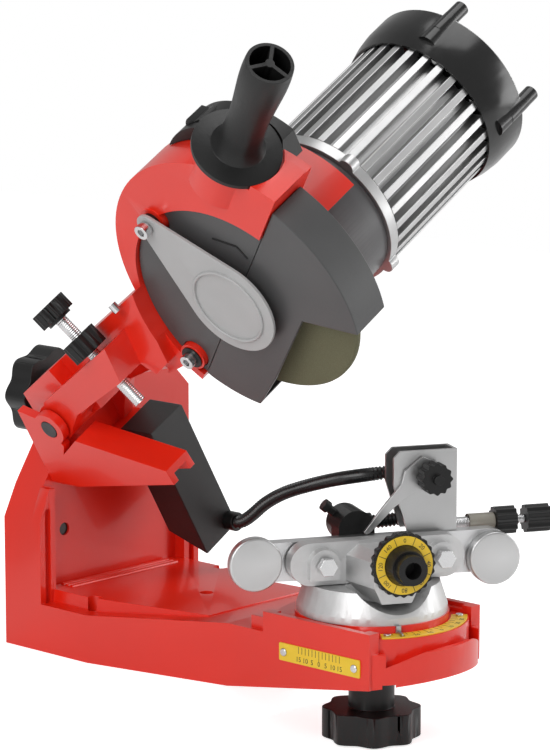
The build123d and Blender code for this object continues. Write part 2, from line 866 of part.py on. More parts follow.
# handle
handle_lean = 48.2       # above the forward direction
flange_radius = 25.2
handle_foot = (-32.0, 91.6, 14.0)
handle_dir = -head.x_dir * cos(radians(handle_lean)) + head.y_dir * sin(radians(handle_lean))


def handle_plane(distance):
    """A plane across the handle, a distance out from its flange."""
    return plane_at(head_point(*handle_foot) + handle_dir * distance, handle_dir, head.z_dir)


visor_pivot = (39.4, 48.6)
cover_screw = (57.7, -49.2)
lug_pad = 8.5
flange_depth = 6.0       # front flange of the drum

with BuildPart() as head_casting:
    # drum wall, on the upper rear half of the wheel
    with BuildSketch(head.offset(-2)):
        with Locations(drum_outer):
            Circle(drum_radius)
        with Locations((drum_back, drum_up)):
            Circle(drum_inner + drum_wall)
            Circle(drum_inner, mode=Mode.SUBTRACT)
        Polygon(
            (-seam_b, seam_u),
            (seam_b, -seam_u),
            (seam_b + 100, seam_u),
            (0, seam_u + 100),
            align=None,
            mode=Mode.INTERSECT,
        )
    extrude(amount=back_plate_front + 2)
    # back plate behind the wheel, all round
    with BuildSketch(head.offset(back_plate_front)):
        Circle(64)
        with Locations(drum_outer):
            Circle(drum_radius - 2)
        with Locations((drum_back, drum_up)):
            Circle(drum_inner + drum_wall)
        Polygon(
            (-seam_b, seam_u),
            (seam_b, -seam_u),
            (seam_b + 100, seam_u),
            (0, seam_u + 100),
            align=None,
            mode=Mode.INTERSECT,
        )
    extrude(amount=back_plate)
    with BuildSketch(head.offset(back_plate_front)):
        Circle(64)
    extrude(amount=back_plate)
    # saddle over the motor
    with BuildSketch(head.offset(bell_front - 1)):
        Circle(64)
        Circle(57, mode=Mode.SUBTRACT)
        Polygon((0, 0), (-150, 100), (-60, 200), (150, 180), (150, 20), align=None, mode=Mode.INTERSECT)
    extrude(amount=32)
    # seat for the handle
    with BuildSketch(handle_plane(-26)):
        Circle(21)
    extrude(amount=26)
    # arm
    with BuildSketch(head.offset(-10)):
        Polygon(
            (74, 0.1),
            (203.2, -83.7),
            (201, -100),
            (180, -98),
            (163, -101),
            (106, -75),
            (72, -50),
            align=None,
        )
    extrude(amount=12)
    with BuildSketch(head.offset(-21)):
        Polygon((168, -60.9), (203.2, -83.7), (201, -100), (180, -98), (163, -101), (158, -80), align=None)
    extrude(amount=12)
    with BuildSketch(head.offset(-2)):
        Polygon(
            (60, 9.2),
            (84.7, -6.8),
            (182, -70),
            (178, -96),
            (163, -101),
            (106, -75),
            (74, -60),
            (55, -50),
            align=None,
        )
    extrude(amount=arm_far + 2)
    with BuildSketch(head.offset(arm_near)):
        Polygon((96, -28.4), (176, -80.3), (182, -96), (163, -101), (150, -86), (96, -53.5), align=None)
    extrude(amount=-arm_near)
    with BuildSketch(head.offset(arm_near)):
        with Locations(pivot):
            Circle(12.5)
    extrude(amount=arm_far - arm_near)
    # inside of the drum
    with BuildSketch(head.offset(-40)):
        with Locations((drum_back, drum_up)):
            Circle(drum_inner)
    extrude(amount=back_plate_front + 40, mode=Mode.SUBTRACT)
    with BuildSketch(head.offset(flange_depth)):
        Circle(wheel_d / 2 + 2.5)
    extrude(amount=back_plate_front - flange_depth, mode=Mode.SUBTRACT)
    # lug of the visor and foot of the cover screw
    with BuildSketch(head.offset(-2.5)):
        with Locations(visor_pivot, cover_screw):
            Circle(lug_pad)
    extrude(amount=flange_depth + 2.5)
    # hollow under the arm
    with BuildSketch(head.offset(arm_near + 5)):
        Polygon((84, -62), (106, -47), (158, -78), (150, -100), (100, -90), align=None)
    extrude(amount=arm_far - arm_near - 10, mode=Mode.SUBTRACT)
    # spindle, pivot, depth screw and fixing holes
    with BuildSketch(head.offset(back_plate_front)):
        Circle(18)
    extrude(amount=back_plate + 1, mode=Mode.SUBTRACT)
    with BuildSketch(head.offset(arm_near)):
        with Locations(pivot):
            Circle(pivot_pin_d / 2 + running_gap)
    extrude(amount=arm_far - arm_near, mode=Mode.SUBTRACT)
    with BuildSketch(screw_plane(10)):
        Circle(4 + running_gap)
    extrude(amount=40, mode=Mode.SUBTRACT)
    with BuildSketch(head.offset(-2.5)):
        with Locations(visor_pivot, cover_screw):
            Circle(2.5 + running_gap)
    extrude(amount=15, mode=Mode.SUBTRACT)
    # flat seat for the handle's flange
    with BuildSketch(handle_plane(0)):
        Circle(flange_radius + 1)
    extrude(amount=20, mode=Mode.SUBTRACT)
    # pocket for the return spring
    with BuildSketch(head.offset(arm_far - spring_pocket)):
        with Locations(pivot):
            Circle(spring_radius + 1.6)
    extrude(amount=spring_pocket, mode=Mode.SUBTRACT)
save(head_casting, "head_casting")

# ---------------------------------------------------------------- cover and guard
cover_face = 0.8
cover_thickness = 2.0
with BuildPart() as wheel_cover:
    with BuildSketch(head.offset(cover_face)):
        with Locations((drum_back, drum_up)):
            Circle(drum_inner - 0.5)
        Polygon(
            (-seam_b, seam_u),
            (seam_b, -seam_u),
            (seam_b + 100, seam_u),
            (0, seam_u + 100),
            align=None,
            mode=Mode.INTERSECT,
        )
        with Locations(visor_pivot, cover_screw):
            Circle(lug_pad + slide_gap, mode=Mode.SUBTRACT)
    extrude(amount=cover_thickness)
save(wheel_cover, "wheel_cover")

with BuildPart() as wheel_guard:
    with BuildSketch(head):
        Circle(guard_radius)
    extrude(amount=guard_depth)
    with BuildSketch(head.offset(guard_wall)):
        Circle(guard_radius - guard_wall)
    extrude(amount=guard_depth - 2 * guard_wall, mode=Mode.SUBTRACT)
    # keep the forward, lower half
    with BuildSketch(head):
        Polygon(
            (-seam_b - 0.25, seam_u - 0.25),
            (seam_b - 0.25, -seam_u - 0.25),
            (-100, -250),
            (-250, 0),
            align=None,
        )
    extrude(amount=guard_depth, mode=Mode.INTERSECT)
    # opening where the wheel meets the chain
    with BuildSketch(head):
        Polygon(
            (-42.5, -12.5),
            (-90, -17.8),
            (-110, -110),
            (27, -90),
            (21.3, -80.3),
            (-0.8, -58.8),
            align=None,
        )
    extrude(amount=guard_depth, mode=Mode.SUBTRACT)
    with BuildSketch(head.offset(guard_depth - guard_wall)):
        Circle(45)
    extrude(amount=guard_wall, mode=Mode.SUBTRACT)
    with BuildSketch(head):
        Circle(12)
    extrude(amount=guard_wall, mode=Mode.SUBTRACT)
    # clear the drum wall and the pivot end of the seam
    with BuildSketch(head.offset(-1)):
        Polygon((20, 0), (100, 0), (100, -100), (62, -88), (40, -52), align=None)
        with Locations((drum_back, drum_up)):
            Circle(drum_inner - 0.5, mode=Mode.SUBTRACT)
    extrude(amount=guard_depth + 2, mode=Mode.SUBTRACT)
save(wheel_guard, "wheel_guard")

visor_face = -7.5
visor_thickness = 2.0
visor_radius = 31.0
with BuildPart() as visor:
    with BuildSketch(head.offset(visor_face)):
        with Locations((2, -2)):
            Circle(visor_radius)
        with Locations(visor_pivot):
            Circle(7.5)
        make_hull()
        with Locations(visor_pivot):
            Circle(2.5 + running_gap, mode=Mode.SUBTRACT)
    extrude(amount=visor_thickness)
    with BuildSketch(head.offset(visor_face)):
        with Locations((2, -2)):
            Circle(24)
            Circle(22.8, mode=Mode.SUBTRACT)
    extrude(amount=-0.8)
save(visor, "visor")

guard_screw_head = visor_face - 6
screw_tips = flange_depth + 0.5
with BuildPart() as guard_screws:
    for place, start in ((visor_pivot, guard_screw_head), (cover_screw, -8.5)):
        with BuildSketch(head.offset(start)):
            with Locations(place):
                Circle(4.5)
        extrude(amount=5)
        with BuildSketch(head.offset(start)):
            with Locations(place):
                Circle(2.5)
        extrude(amount=screw_tips - start)
        with BuildSketch(head.offset(start)):
            with Locations(place):
                RegularPolygon(2.4, 6)
        extrude(amount=3, mode=Mode.SUBTRACT)
save(guard_screws, "guard_screws")

with BuildPart() as guard_washers:
    with BuildSketch(head.offset(visor_face + visor_thickness + 0.3)):
        with Locations(visor_pivot):
            Circle(6)
            Circle(2.5 + running_gap, mode=Mode.SUBTRACT)
    extrude(amount=-2.5 - (visor_face + visor_thickness + 0.3))
    with BuildSketch(head.offset(-3.5)):
        with Locations(cover_screw):
            Circle(7)
            Circle(2.5 + running_gap, mode=Mode.SUBTRACT)
    extrude(amount=1)
save(guard_washers, "guard_washers")

# ---------------------------------------------------------------- spindle and wheel
wheel_front = wheel_station - wheel_width / 2
wheel_back = wheel_station + wheel_width / 2
flange_d = 40.0
flange_thickness = 3.0
body_start = motor_ring_station + 3
body_end = body_start + motor_length
bearing_d = 35.0
bearing_width = 11.0
front_bearing = bell_front + 4
rear_bearing = body_end - bearing_width - 4

with BuildPart() as spindle:
    with BuildSketch(head.offset(wheel_front - flange_thickness - 5)):
        Circle(6)
    extrude(amount=wheel_back + 5 - wheel_front + flange_thickness + 5)
    with BuildSketch(head.offset(wheel_front)):
        Circle(wheel_bore / 2 - 0.05)
        Circle(5.9, mode=Mode.SUBTRACT)
    extrude(amount=wheel_width - 0.2)
    with BuildSketch(head.offset(wheel_back + flange_thickness + 0.2)):
        Circle(shaft_d / 2)
    extrude(amount=body_end + 14 - wheel_back - flange_thickness - 0.2)
save(spindle, "spindle")

with BuildPart() as grinding_wheel:
    with BuildSketch(head.offset(wheel_front)):
        Circle(wheel_d / 2)
        Circle(wheel_bore / 2, mode=Mode.SUBTRACT)
    extrude(amount=wheel_width)
    chamfer(grinding_wheel.edges().filter_by(GeomType.CIRCLE).group_by(SortBy.RADIUS)[-1], 1.0)
save(grinding_wheel, "grinding_wheel")

with BuildPart() as wheel_flanges:
    for start in (wheel_front - flange_thickness, wheel_back):
        with BuildSketch(head.offset(start)):
            Circle(flange_d / 2)
            Circle(6, mode=Mode.SUBTRACT)
        extrude(amount=flange_thickness)
save(wheel_flanges, "wheel_flanges")

with BuildPart() as wheel_nut:
    with BuildSketch(head.offset(wheel_front - flange_thickness - 4)):
        RegularPolygon(9, 6, major_radius=False)
        Circle(6, mode=Mode.SUBTRACT)
    extrude(amount=4)
save(wheel_nut, "wheel_nut")

with BuildPart() as bearings:
    for start in (front_bearing, rear_bearing):
        with BuildSketch(head.offset(start)):
            Circle(bearing_d / 2 - running_gap)
            Circle(shaft_d / 2 + running_gap, mode=Mode.SUBTRACT)
        extrude(amount=bearing_width)
save(bearings, "bearings")

with BuildPart() as rotor:
    with BuildSketch(head.offset(body_start + 14)):
        Circle(20)
        Circle(shaft_d / 2, mode=Mode.SUBTRACT)
    extrude(amount=44)
save(rotor, "rotor")

with BuildPart() as stator:
    with BuildSketch(head.offset(body_start + 12)):
        Circle(35)
        Circle(20.6, mode=Mode.SUBTRACT)
    extrude(amount=48)
save(stator, "stator")

# ---------------------------------------------------------------- motor housing
bell_radius = 46.0
bell_back = motor_ring_station - 4
with BuildPart() as motor_bell:
    with BuildSketch(head.offset(bell_front)):
        Circle(bell_radius)
    extrude(amount=bell_back - bell_front)
    with BuildSketch(head.offset(front_bearing + bearing_width)):
        Circle(bell_radius - 4)
    extrude(amount=bell_back, mode=Mode.SUBTRACT)
    with BuildSketch(head.offset(bell_front)):
        Circle(bearing_d / 2)
    extrude(amount=bell_back, mode=Mode.SUBTRACT)
    bell_rims = motor_bell.edges().filter_by(GeomType.CIRCLE).group_by(SortBy.RADIUS)[-1]
    fillet(bell_rims.sort_by(wheel_axis)[0], 2)
save(motor_bell, "motor_bell")

with BuildPart() as motor_ring:
    with BuildSketch(head.offset(bell_back)):
        Circle(motor_d / 2)
        Circle(bell_radius - 4, mode=Mode.SUBTRACT)
        with PolarLocations(motor_d / 2 - 1, 4, 45):
            Circle(5)
    extrude(amount=body_start - bell_back)
save(motor_ring, "motor_ring")

fin_core = motor_d / 2 - fin_height
with BuildPart() as motor_body:
    with BuildSketch(head.offset(body_start)):
        Circle(fin_core)
        with PolarLocations(motor_d / 2 - fin_height / 2 - 0.5, fin_count):
            Rectangle(fin_height + 1, 4.6)
    extrude(amount=motor_length)
    with BuildSketch(head.offset(body_start)):
        Circle(35)
    extrude(amount=rear_bearing - body_start - 2, mode=Mode.SUBTRACT)
    with BuildSketch(head.offset(body_start)):
        Circle(bearing_d / 2)
    extrude(amount=motor_length, mode=Mode.SUBTRACT)
save(motor_body, "motor_body")

cap_start = body_end - 2
cap_radius = motor_d / 2 + slide_gap + cap_wall
post_d = 9.0
post_reach = 12.0
post_angles = (12.0, 114.0, 192.0, 294.0)
with BuildPart() as motor_cap:
    with BuildSketch(plane_at(head_point(0, 0, cap_start), head.x_dir, head.z_dir)):
        with BuildLine():
            Polyline(
                (0, 0),
                (0, cap_radius - 3),
                (8, cap_radius - 1),
                (16, cap_radius),
                (cap_length - 1.5, cap_radius),
                (cap_length, cap_radius - 1.5),
                (cap_length, 0),
                (0, 0),
            )
        make_face()
    revolve(axis=wheel_axis)
    with BuildSketch(head.offset(cap_start)):
        Circle(motor_d / 2 + slide_gap)
    extrude(amount=cap_length - 4, mode=Mode.SUBTRACT)
    # posts that the motor rests on
    with BuildSketch(head.offset(cap_start + 18)):
        for angle in post_angles:
            with PolarLocations(cap_radius - 2, 1, angle):
                Circle(post_d / 2)
    extrude(amount=cap_length - 18 + post_reach)
    # air slots
    with BuildSketch(head.offset(cap_start + cap_length)):
        with PolarLocations(26, 12):
            SlotOverall(24, 4)
    extrude(amount=-6, mode=Mode.SUBTRACT)
save(motor_cap, "motor_cap")

with BuildPart() as cooling_fan:
    with BuildSketch(head.offset(body_end + 2)):
        Circle(14)
        Circle(shaft_d / 2, mode=Mode.SUBTRACT)
    extrude(amount=10)
    with BuildSketch(head.offset(body_end + 2)):
        Circle(40)
        Circle(13, mode=Mode.SUBTRACT)
    extrude(amount=1.5)
    with BuildSketch(head.offset(body_end + 3)):
        with PolarLocations(26, 8):
            Rectangle(26, 2, rotation=25)
    extrude(amount=9)
save(cooling_fan, "cooling_fan")

# ---------------------------------------------------------------- handle and switch
grip_length = 79.0
grip_end_radius = 13.0
with BuildPart() as handle:
    with BuildSketch(plane_at(head_point(*handle_foot), head.z_dir, handle_dir)):
        with BuildLine():
            Polyline((15, 0), (0, 0), (0, flange_radius), (2.6, flange_radius), (4.4, 19.0), (5.0, 15.2))
            Spline((5.0, 15.2), (9.0, 13.2), (18.0, 11.6), (45.0, 12.0), (grip_length, grip_end_radius))
            Polyline((grip_length, grip_end_radius), (grip_length, 0), (15, 0))
        make_face()
    revolve(axis=Axis(head_point(*handle_foot), handle_dir))
    # hollow end with three ribs
    with BuildSketch(handle_plane(grip_length)):
        Circle(grip_end_radius - 2)
        with PolarLocations((grip_end_radius - 2) / 2, 3, 30):
            Rectangle(grip_end_radius - 2, 2.2, mode=Mode.SUBTRACT)
        Circle(2.6, mode=Mode.SUBTRACT)
    extrude(amount=-16, mode=Mode.SUBTRACT)
save(handle, "handle")

switch_front = 20.0
switch_depth = 26.0
switch_middle = (6.0, 94.0)
switch_radius = 8.0
rocker_width = 14.0
rocker_start = switch_front + (switch_depth - rocker_width) / 2
with BuildPart() as switch_housing:
    with BuildSketch(head.offset(switch_front)):
        with BuildLine():
            Spline((-45, 84), (-30, 94.5), (-7.5, 100), (12, 96.5), (28, 84))
            Polyline((28, 84), (28, 70), (-45, 70), (-45, 84))
        make_face()
        with Locations(drum_outer):
            Circle(drum_radius + 0.3, mode=Mode.SUBTRACT)
    extrude(amount=back_plate_front + back_plate - switch_front)
    with BuildSketch(head.offset(back_plate_front + back_plate)):
        with BuildLine():
            Spline((-45, 84), (-30, 94.5), (-7.5, 100), (12, 96.5), (28, 84))
            Polyline((28, 84), (28, 70), (-45, 70), (-45, 84))
        make_face()
    extrude(amount=switch_front + switch_depth - back_plate_front - back_plate)
    with BuildSketch(handle_plane(-40)):
        Circle(flange_radius + 1)
    extrude(amount=70, mode=Mode.SUBTRACT)
    with BuildSketch(head.offset(rocker_start - slide_gap)):
        with Locations(switch_middle):
            Circle(switch_radius + slide_gap)
    extrude(amount=rocker_width + 2 * slide_gap, mode=Mode.SUBTRACT)
save(switch_housing, "switch_housing")

with BuildPart() as switch_rocker:
    with BuildSketch(head.offset(rocker_start)):
        with Locations(switch_middle):
            Circle(switch_radius)
            Polygon((-10, 9), (0, 5), (9, 7), (9, -1.5), (-10, -1.5), align=None, mode=Mode.INTERSECT)
    extrude(amount=rocker_width)
save(switch_rocker, "switch_rocker")

# ================================================================ tilting bracket
bracket_plate = 9.0
column_face = column_front - wheel_axis_y        # front of the column, in the head's frame
bracket_rear = column_face - slide_gap
bracket_front = bracket_rear - bracket_plate
near_lug = -36.0
lug_thickness = 5.7
far_lug = arm_far + 0.6
far_lug_end = 34.0
lug_radius = 11.0
lug_top = -78.0
tilt_station = (tilt_x - wheel_axis_x) * cos(radians(head_tilt))
tilt_station += (tilt_z - wheel_axis_z) * sin(radians(head_tilt))
tilt_up = (tilt_z - wheel_axis_z) * cos(radians(head_tilt))
tilt_up -= (tilt_x - wheel_axis_x) * sin(radians(head_tilt))
bracket_boss = 23.0
stop_arm_width = 20.0
with BuildPart() as tilt_bracket:
    # back plate against the column
    with BuildSketch(facing_forward(bracket_rear)):
        Polygon(
            (near_lug, -108),
            (far_lug_end, -108),
            (far_lug_end, -140),
            (10, -152),
            (-10, -148),
            (near_lug, -130),
            align=None,
        )
        with Locations((tilt_station, tilt_up)):
            Circle(bracket_boss)
    extrude(amount=bracket_plate)
    # lugs of the head's pivot
    for start, width in ((near_lug, lug_thickness), (far_lug, far_lug_end - far_lug)):
        with BuildSketch(head.offset(start)):
            Polygon(
                (bracket_rear, -84),
                (bracket_rear, -140),
                (bracket_front, -140),
                (pivot_back - 6, -108),
                (pivot_back, -90),
                align=None,
            )
            with Locations(pivot):
                Circle(lug_radius)
        extrude(amount=width)
    # stop arm, an upturned channel
    with BuildSketch(head.offset(near_lug)):
        Polygon(
            (154, -101),
            (83, -112),
            (81, -122),
            (172, -140),
            (bracket_rear, -140),
            (bracket_rear, -112),
            (173, -116),
            align=None,
        )
    extrude(amount=stop_arm_width)
    with BuildSketch(head.offset(near_lug + 4.5)):
        Polygon((152, -106), (80, -117), (80, -150), (182, -150), (182, -120), (172, -121), align=None)
    extrude(amount=stop_arm_width - 9, mode=Mode.SUBTRACT)
    # stop-arm wall gives way to the barrel of the head
    with BuildSketch(head.offset(near_lug + lug_thickness)):
        with Locations(pivot):
            Circle(13)
    extrude(amount=far_lug - near_lug - lug_thickness, mode=Mode.SUBTRACT)
    # arm that carries the hydraulic box
    box_seat = 171.7
    with BuildSketch(facing_forward(bracket_front)):
        Polygon((15, -136), (36, -136), (36, -160), (15, -160), align=None)
    extrude(amount=bracket_front - box_seat)
    with BuildSketch(facing_forward(bracket_rear)):
        Polygon((15, -130), (34, -130), (36, -160), (15, -160), align=None)
    extrude(amount=bracket_plate)
    # pivot bores
    with BuildSketch(head.offset(near_lug)):
        with Locations(pivot):
            Circle(pivot_pin_d / 2 + running_gap)
    extrude(amount=far_lug_end - near_lug, mode=Mode.SUBTRACT)
    with BuildSketch(facing_forward(bracket_rear)):
        with Locations((tilt_station, tilt_up)):
            Circle(tilt_stud_d / 2 + running_gap)
    extrude(amount=bracket_plate - 1, mode=Mode.SUBTRACT)
save(tilt_bracket, "tilt_bracket")

with BuildPart() as pivot_pin:
    with BuildSketch(head.offset(near_lug - 0.4)):
        with Locations(pivot):
            Circle(pivot_pin_d / 2)
    extrude(amount=far_lug_end - near_lug + 2)
save(pivot_pin, "pivot_pin")

# ---------------------------------------------------------------- tilt clamp
column_rear = column_front + column_depth
stud_start = bracket_front + 1.3
tilt_washer_thickness = 2.5
tilt_knob_hub = column_rear + tilt_washer_thickness + 0.6
tilt_rim = 251.0
tilt_knob_depth = 18.0


def tilt_plane(along):
    """A plane across the tilt stud, x across the machine and y up."""
    return plane_at(Vector(tilt_x, vise_y + along, tilt_z), Vector(0, 1, 0), Vector(-1, 0, 0))


with BuildPart() as tilt_stud:
    with BuildSketch(tilt_plane(stud_start + wheel_axis_y)):
        Circle(tilt_stud_d / 2)
    extrude(amount=tilt_rim + 8 - stud_start - wheel_axis_y)
save(tilt_stud, "tilt_stud")

with BuildPart() as tilt_washer:
    with BuildSketch(tilt_plane(column_rear)):
        Circle(15)
        Circle(tilt_stud_d / 2 + running_gap, mode=Mode.SUBTRACT)
    extrude(amount=tilt_washer_thickness)
save(tilt_washer, "tilt_washer")

with BuildPart() as tilt_knob:
    with BuildSketch(tilt_plane(tilt_rim)):
        with BuildLine():
            lobed_outline(knob_d / 2, 8, 3.4)
        make_face()
    extrude(amount=tilt_knob_depth)
    with BuildSketch(tilt_plane(tilt_knob_hub)):
        Circle(knob_hub_d / 2)
    extrude(amount=tilt_rim - tilt_knob_hub)
    with BuildSketch(tilt_plane(tilt_knob_hub)):
        Circle(tilt_stud_d / 2 + running_gap)
    extrude(amount=tilt_rim + 8.3 - tilt_knob_hub, mode=Mode.SUBTRACT)
    with BuildSketch(tilt_plane(tilt_rim + tilt_knob_depth)):
        Circle(knob_d / 2 - 9)
    extrude(amount=-4, mode=Mode.SUBTRACT)
save(tilt_knob, "tilt_knob")

# ---------------------------------------------------------------- grinding depth screw
screw_d = 8.0
lock_at = 40.7           # lock knob above the screw's tip
lock_depth = 12.4
grip_at = 68.6
grip_depth = 9.9
finger_d = 23.0
with BuildPart() as depth_screw:
    with BuildSketch(screw_plane(0)):
        Circle(screw_d / 2)
    extrude(amount=grip_at)
    with BuildSketch(screw_plane(grip_at)):
        with BuildLine():
            lobed_outline(finger_d / 2, 12, 1.6)
        make_face()
    extrude(amount=grip_depth)
    with BuildSketch(screw_plane(grip_at - 2)):
        Circle(8)
    extrude(amount=3)
save(depth_screw, "depth_screw")

with BuildPart() as depth_lock_knob:
    with BuildSketch(screw_plane(lock_at)):
        with BuildLine():
            lobed_outline(finger_d / 2, 12, 1.6)
        make_face()
        Circle(screw_d / 2 + running_gap, mode=Mode.SUBTRACT)
    extrude(amount=lock_depth)
save(depth_lock_knob, "depth_lock_knob")

# ---------------------------------------------------------------- hydraulic box and hose
box_front = 144.7
box_left = 10.0
box_right = 41.0
box_top = -131.0
box_bottom = -227.6
box_wall = 3.0
with BuildPart() as hydraulic_box:
    with BuildSketch(head.offset(box_left)):
        Polygon(
            (box_front, box_top),
            (box_seat, box_top),
            (box_seat, box_bottom + 14),
            (box_front, box_bottom),
            align=None,
        )
    extrude(amount=box_right - box_left)
    fillet(hydraulic_box.edges().filter_by(Axis.Y).group_by(Axis.Z)[-1], 2)
    with BuildSketch(head.offset(box_left + box_wall)):
        Polygon(
            (box_front + 2 * box_wall, box_top - box_wall),
            (box_seat - box_wall, box_top - box_wall),
            (box_seat - box_wall, box_bottom + 17),
            (box_front + 2 * box_wall, box_bottom + 8),
            align=None,
        )
    extrude(amount=box_right - box_left - 2 * box_wall, mode=Mode.SUBTRACT)
save(hydraulic_box, "hydraulic_box")

# piston that presses the oil, inside the box
piston_back = (box_front + box_seat) / 2 + 1
piston_station = (box_left + box_right) / 2
with BuildPart() as master_cylinder:
    cylinder_seat = head_point(piston_back, box_top - box_wall, piston_station)
    with BuildSketch(plane_at(cylinder_seat, -head.y_dir, head.x_dir)):
        Circle(8)
    extrude(amount=58)
save(master_cylinder, "master_cylinder")

hose_d = 8.5
gland_up = -221.0
gland_station = 36.0
with BuildPart() as hose_gland:
    with BuildSketch(plane_at(head_point(box_front, gland_up, gland_station), Vector(0, -1, 0), head.z_dir)):
        Circle(6)
    extrude(amount=8)
save(hose_gland, "hose_gland")

# corrugated hose, up over the vise and back into the cylinder's side
port_end = cylinder_along + 14
hose_high = 125.0
gland_mouth = head_point(box_front - 8, gland_up, gland_station)
hose_points = [
    gland_mouth,
    gland_mouth + Vector(0, -9, 0),
    Vector(50, vise_y + 128, 89),
    Vector(47, vise_y + 80, 107),
    vise_point(8, 34, hose_high - 3),
    vise_point(36, 27, hose_high),
    vise_point(44, 30, cylinder_z + 13),
    vise_point(36, cylinder_front + 17, cylinder_z),
    vise_point(port_end, cylinder_front + 17, cylinder_z),
]
with BuildPart() as hydraulic_hose:
    with BuildLine() as hose_path:
        FilletPolyline(*hose_points, radius=(8, 30, 60, 40, 12, 8, 8))
    with BuildSketch(plane_at(gland_mouth, hose_path.line % 0, head.z_dir)):
        Circle(hose_d / 2)
    sweep(path=hose_path.line)
save(hydraulic_hose, "hydraulic_hose")

with BuildPart() as return_spring:
    with BuildLine() as spring_path:
        Helix(
            pitch=2.1,
            height=7.4,
            radius=spring_radius,
            center=head_point(pivot[0], pivot[1], arm_far - spring_pocket + 1.4),
            direction=head.z_dir,
        )
    with BuildSketch(Plane(origin=spring_path.line @ 0, z_dir=spring_path.line % 0)):
        Circle(spring_wire / 2)
    sweep(path=spring_path.line, is_frenet=True)
save(return_spring, "return_spring")
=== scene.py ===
import json
import math

import bmesh
import bpy
from mathutils import Matrix, Vector

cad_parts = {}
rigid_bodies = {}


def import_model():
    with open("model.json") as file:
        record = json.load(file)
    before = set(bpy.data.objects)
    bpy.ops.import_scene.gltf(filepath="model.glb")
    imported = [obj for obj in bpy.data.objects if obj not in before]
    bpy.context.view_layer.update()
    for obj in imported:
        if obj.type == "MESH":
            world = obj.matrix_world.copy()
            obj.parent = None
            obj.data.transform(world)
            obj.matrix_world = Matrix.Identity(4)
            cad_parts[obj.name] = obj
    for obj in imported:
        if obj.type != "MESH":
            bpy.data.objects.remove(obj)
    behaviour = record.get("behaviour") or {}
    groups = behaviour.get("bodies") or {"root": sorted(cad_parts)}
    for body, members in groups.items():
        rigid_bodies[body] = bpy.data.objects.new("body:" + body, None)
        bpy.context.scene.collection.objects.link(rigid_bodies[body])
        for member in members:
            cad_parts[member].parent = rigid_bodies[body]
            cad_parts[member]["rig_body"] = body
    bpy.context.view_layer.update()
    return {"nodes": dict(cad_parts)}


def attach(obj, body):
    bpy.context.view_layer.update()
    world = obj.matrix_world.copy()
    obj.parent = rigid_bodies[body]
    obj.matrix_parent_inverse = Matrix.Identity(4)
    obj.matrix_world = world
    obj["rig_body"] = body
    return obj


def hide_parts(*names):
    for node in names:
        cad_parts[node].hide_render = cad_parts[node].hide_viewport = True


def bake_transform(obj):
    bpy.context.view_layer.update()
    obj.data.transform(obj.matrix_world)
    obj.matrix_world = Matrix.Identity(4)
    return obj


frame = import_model()
scene = bpy.context.scene
scene.view_settings.view_transform = "Standard"


# ---------------------------------------------------------------- camera
# A long lens stands to the left of the vise, a little over the bench top, and looks
# down by about ten degrees.
azimuth = math.radians(-47.14)
elevation = math.radians(9.79)
back = Vector((
    math.sin(azimuth) * math.cos(elevation),
    -math.cos(azimuth) * math.cos(elevation),
    math.sin(elevation),
))
right = Vector((math.cos(azimuth), math.sin(azimuth), 0))
camera = bpy.data.objects.new("camera", bpy.data.cameras.new("camera"))
camera.data.sensor_fit = "VERTICAL"
camera.data.sensor_height = 36
camera.data.lens = 152.41
camera.data.clip_end = 20
camera.matrix_world = Matrix((right, back.cross(right), back)).transposed().to_4x4()
camera.matrix_world.translation = (-1.35536, -1.35581, 0.49749)
scene.collection.objects.link(camera)
scene.camera = camera


# ---------------------------------------------------------------- hydraulic hose
# A thin corrugated rubber sleeve over the oil line.  It leaves the box on the arm's
# bracket, runs up over the vise, turns behind the stop and is screwed into the
# clamping cylinder.
class Value:
    """A node's output, with sums and products that add Math nodes."""

    def __init__(self, graph, socket):
        self.graph = graph
        self.socket = socket

    def __add__(self, other):
        return self.graph.maths("ADD", self, other)

    def __mul__(self, other):
        return self.graph.maths("MULTIPLY", self, other)

    __radd__ = __add__


class Graph:
    """A node tree, with one method that adds any node and joins its inputs."""

    def __init__(self, tree):
        self.tree = tree

    def node(self, kind, settings={}, sockets={}, output=0):
        added = self.tree.nodes.new(kind)
        for key, setting in settings.items():
            setattr(added, key, setting)
        for key, value in sockets.items():
            self.join(added.inputs[key], value)
        return Value(self, added.outputs[output])

    def join(self, socket, value):
        """Links a value to an input, or sets the input's own constant."""
        if isinstance(value, Value):
            self.tree.links.new(value.socket, socket)
        elif socket.type == "RGBA":
            socket.default_value = (*value, 1)
        else:
            socket.default_value = value

    def maths(self, operation, first, second=0.0):
        return self.node("ShaderNodeMath", {"operation": operation}, {0: first, 1: second})

    def ray(self, kind):
        """One for a light ray of this kind, and nought for any other."""
        return self.node("ShaderNodeLightPath", output=kind)


class Finish(Graph):
    """A material on the Principled shader, patterned in the piece's own coordinates."""

    def __init__(self, name, slot, **settings):
        self.slot = slot
        self.material = bpy.data.materials.new(name)
        self.material.use_nodes = True
        super().__init__(self.material.node_tree)
        self.shader = self.tree.nodes["Principled BSDF"]
        self.place = self.node("ShaderNodeTexCoord", output="Object")
        self.set(**settings)

    def set(self, **settings):
        for key, value in settings.items():
            self.join(self.shader.inputs[key.replace("_", " ")], value)

    def noise(self, scale, detail=3.0, rough=0.5):
        sockets = {"Vector": self.place, "Scale": scale, "Detail": detail, "Roughness": rough}
        return self.node("ShaderNodeTexNoise", {}, sockets)

    def blend(self, factor, first, second):
        """A colour between two colours."""
        sockets = {0: factor, 6: first, 7: second}
        return self.node("ShaderNodeMix", {"data_type": "RGBA"}, sockets, output=2)

    def bump(self, height, strength, distance):
        sockets = {"Height": height, "Strength": strength, "Distance": distance}
        self.set(Normal=self.node("ShaderNodeBump", {}, sockets))


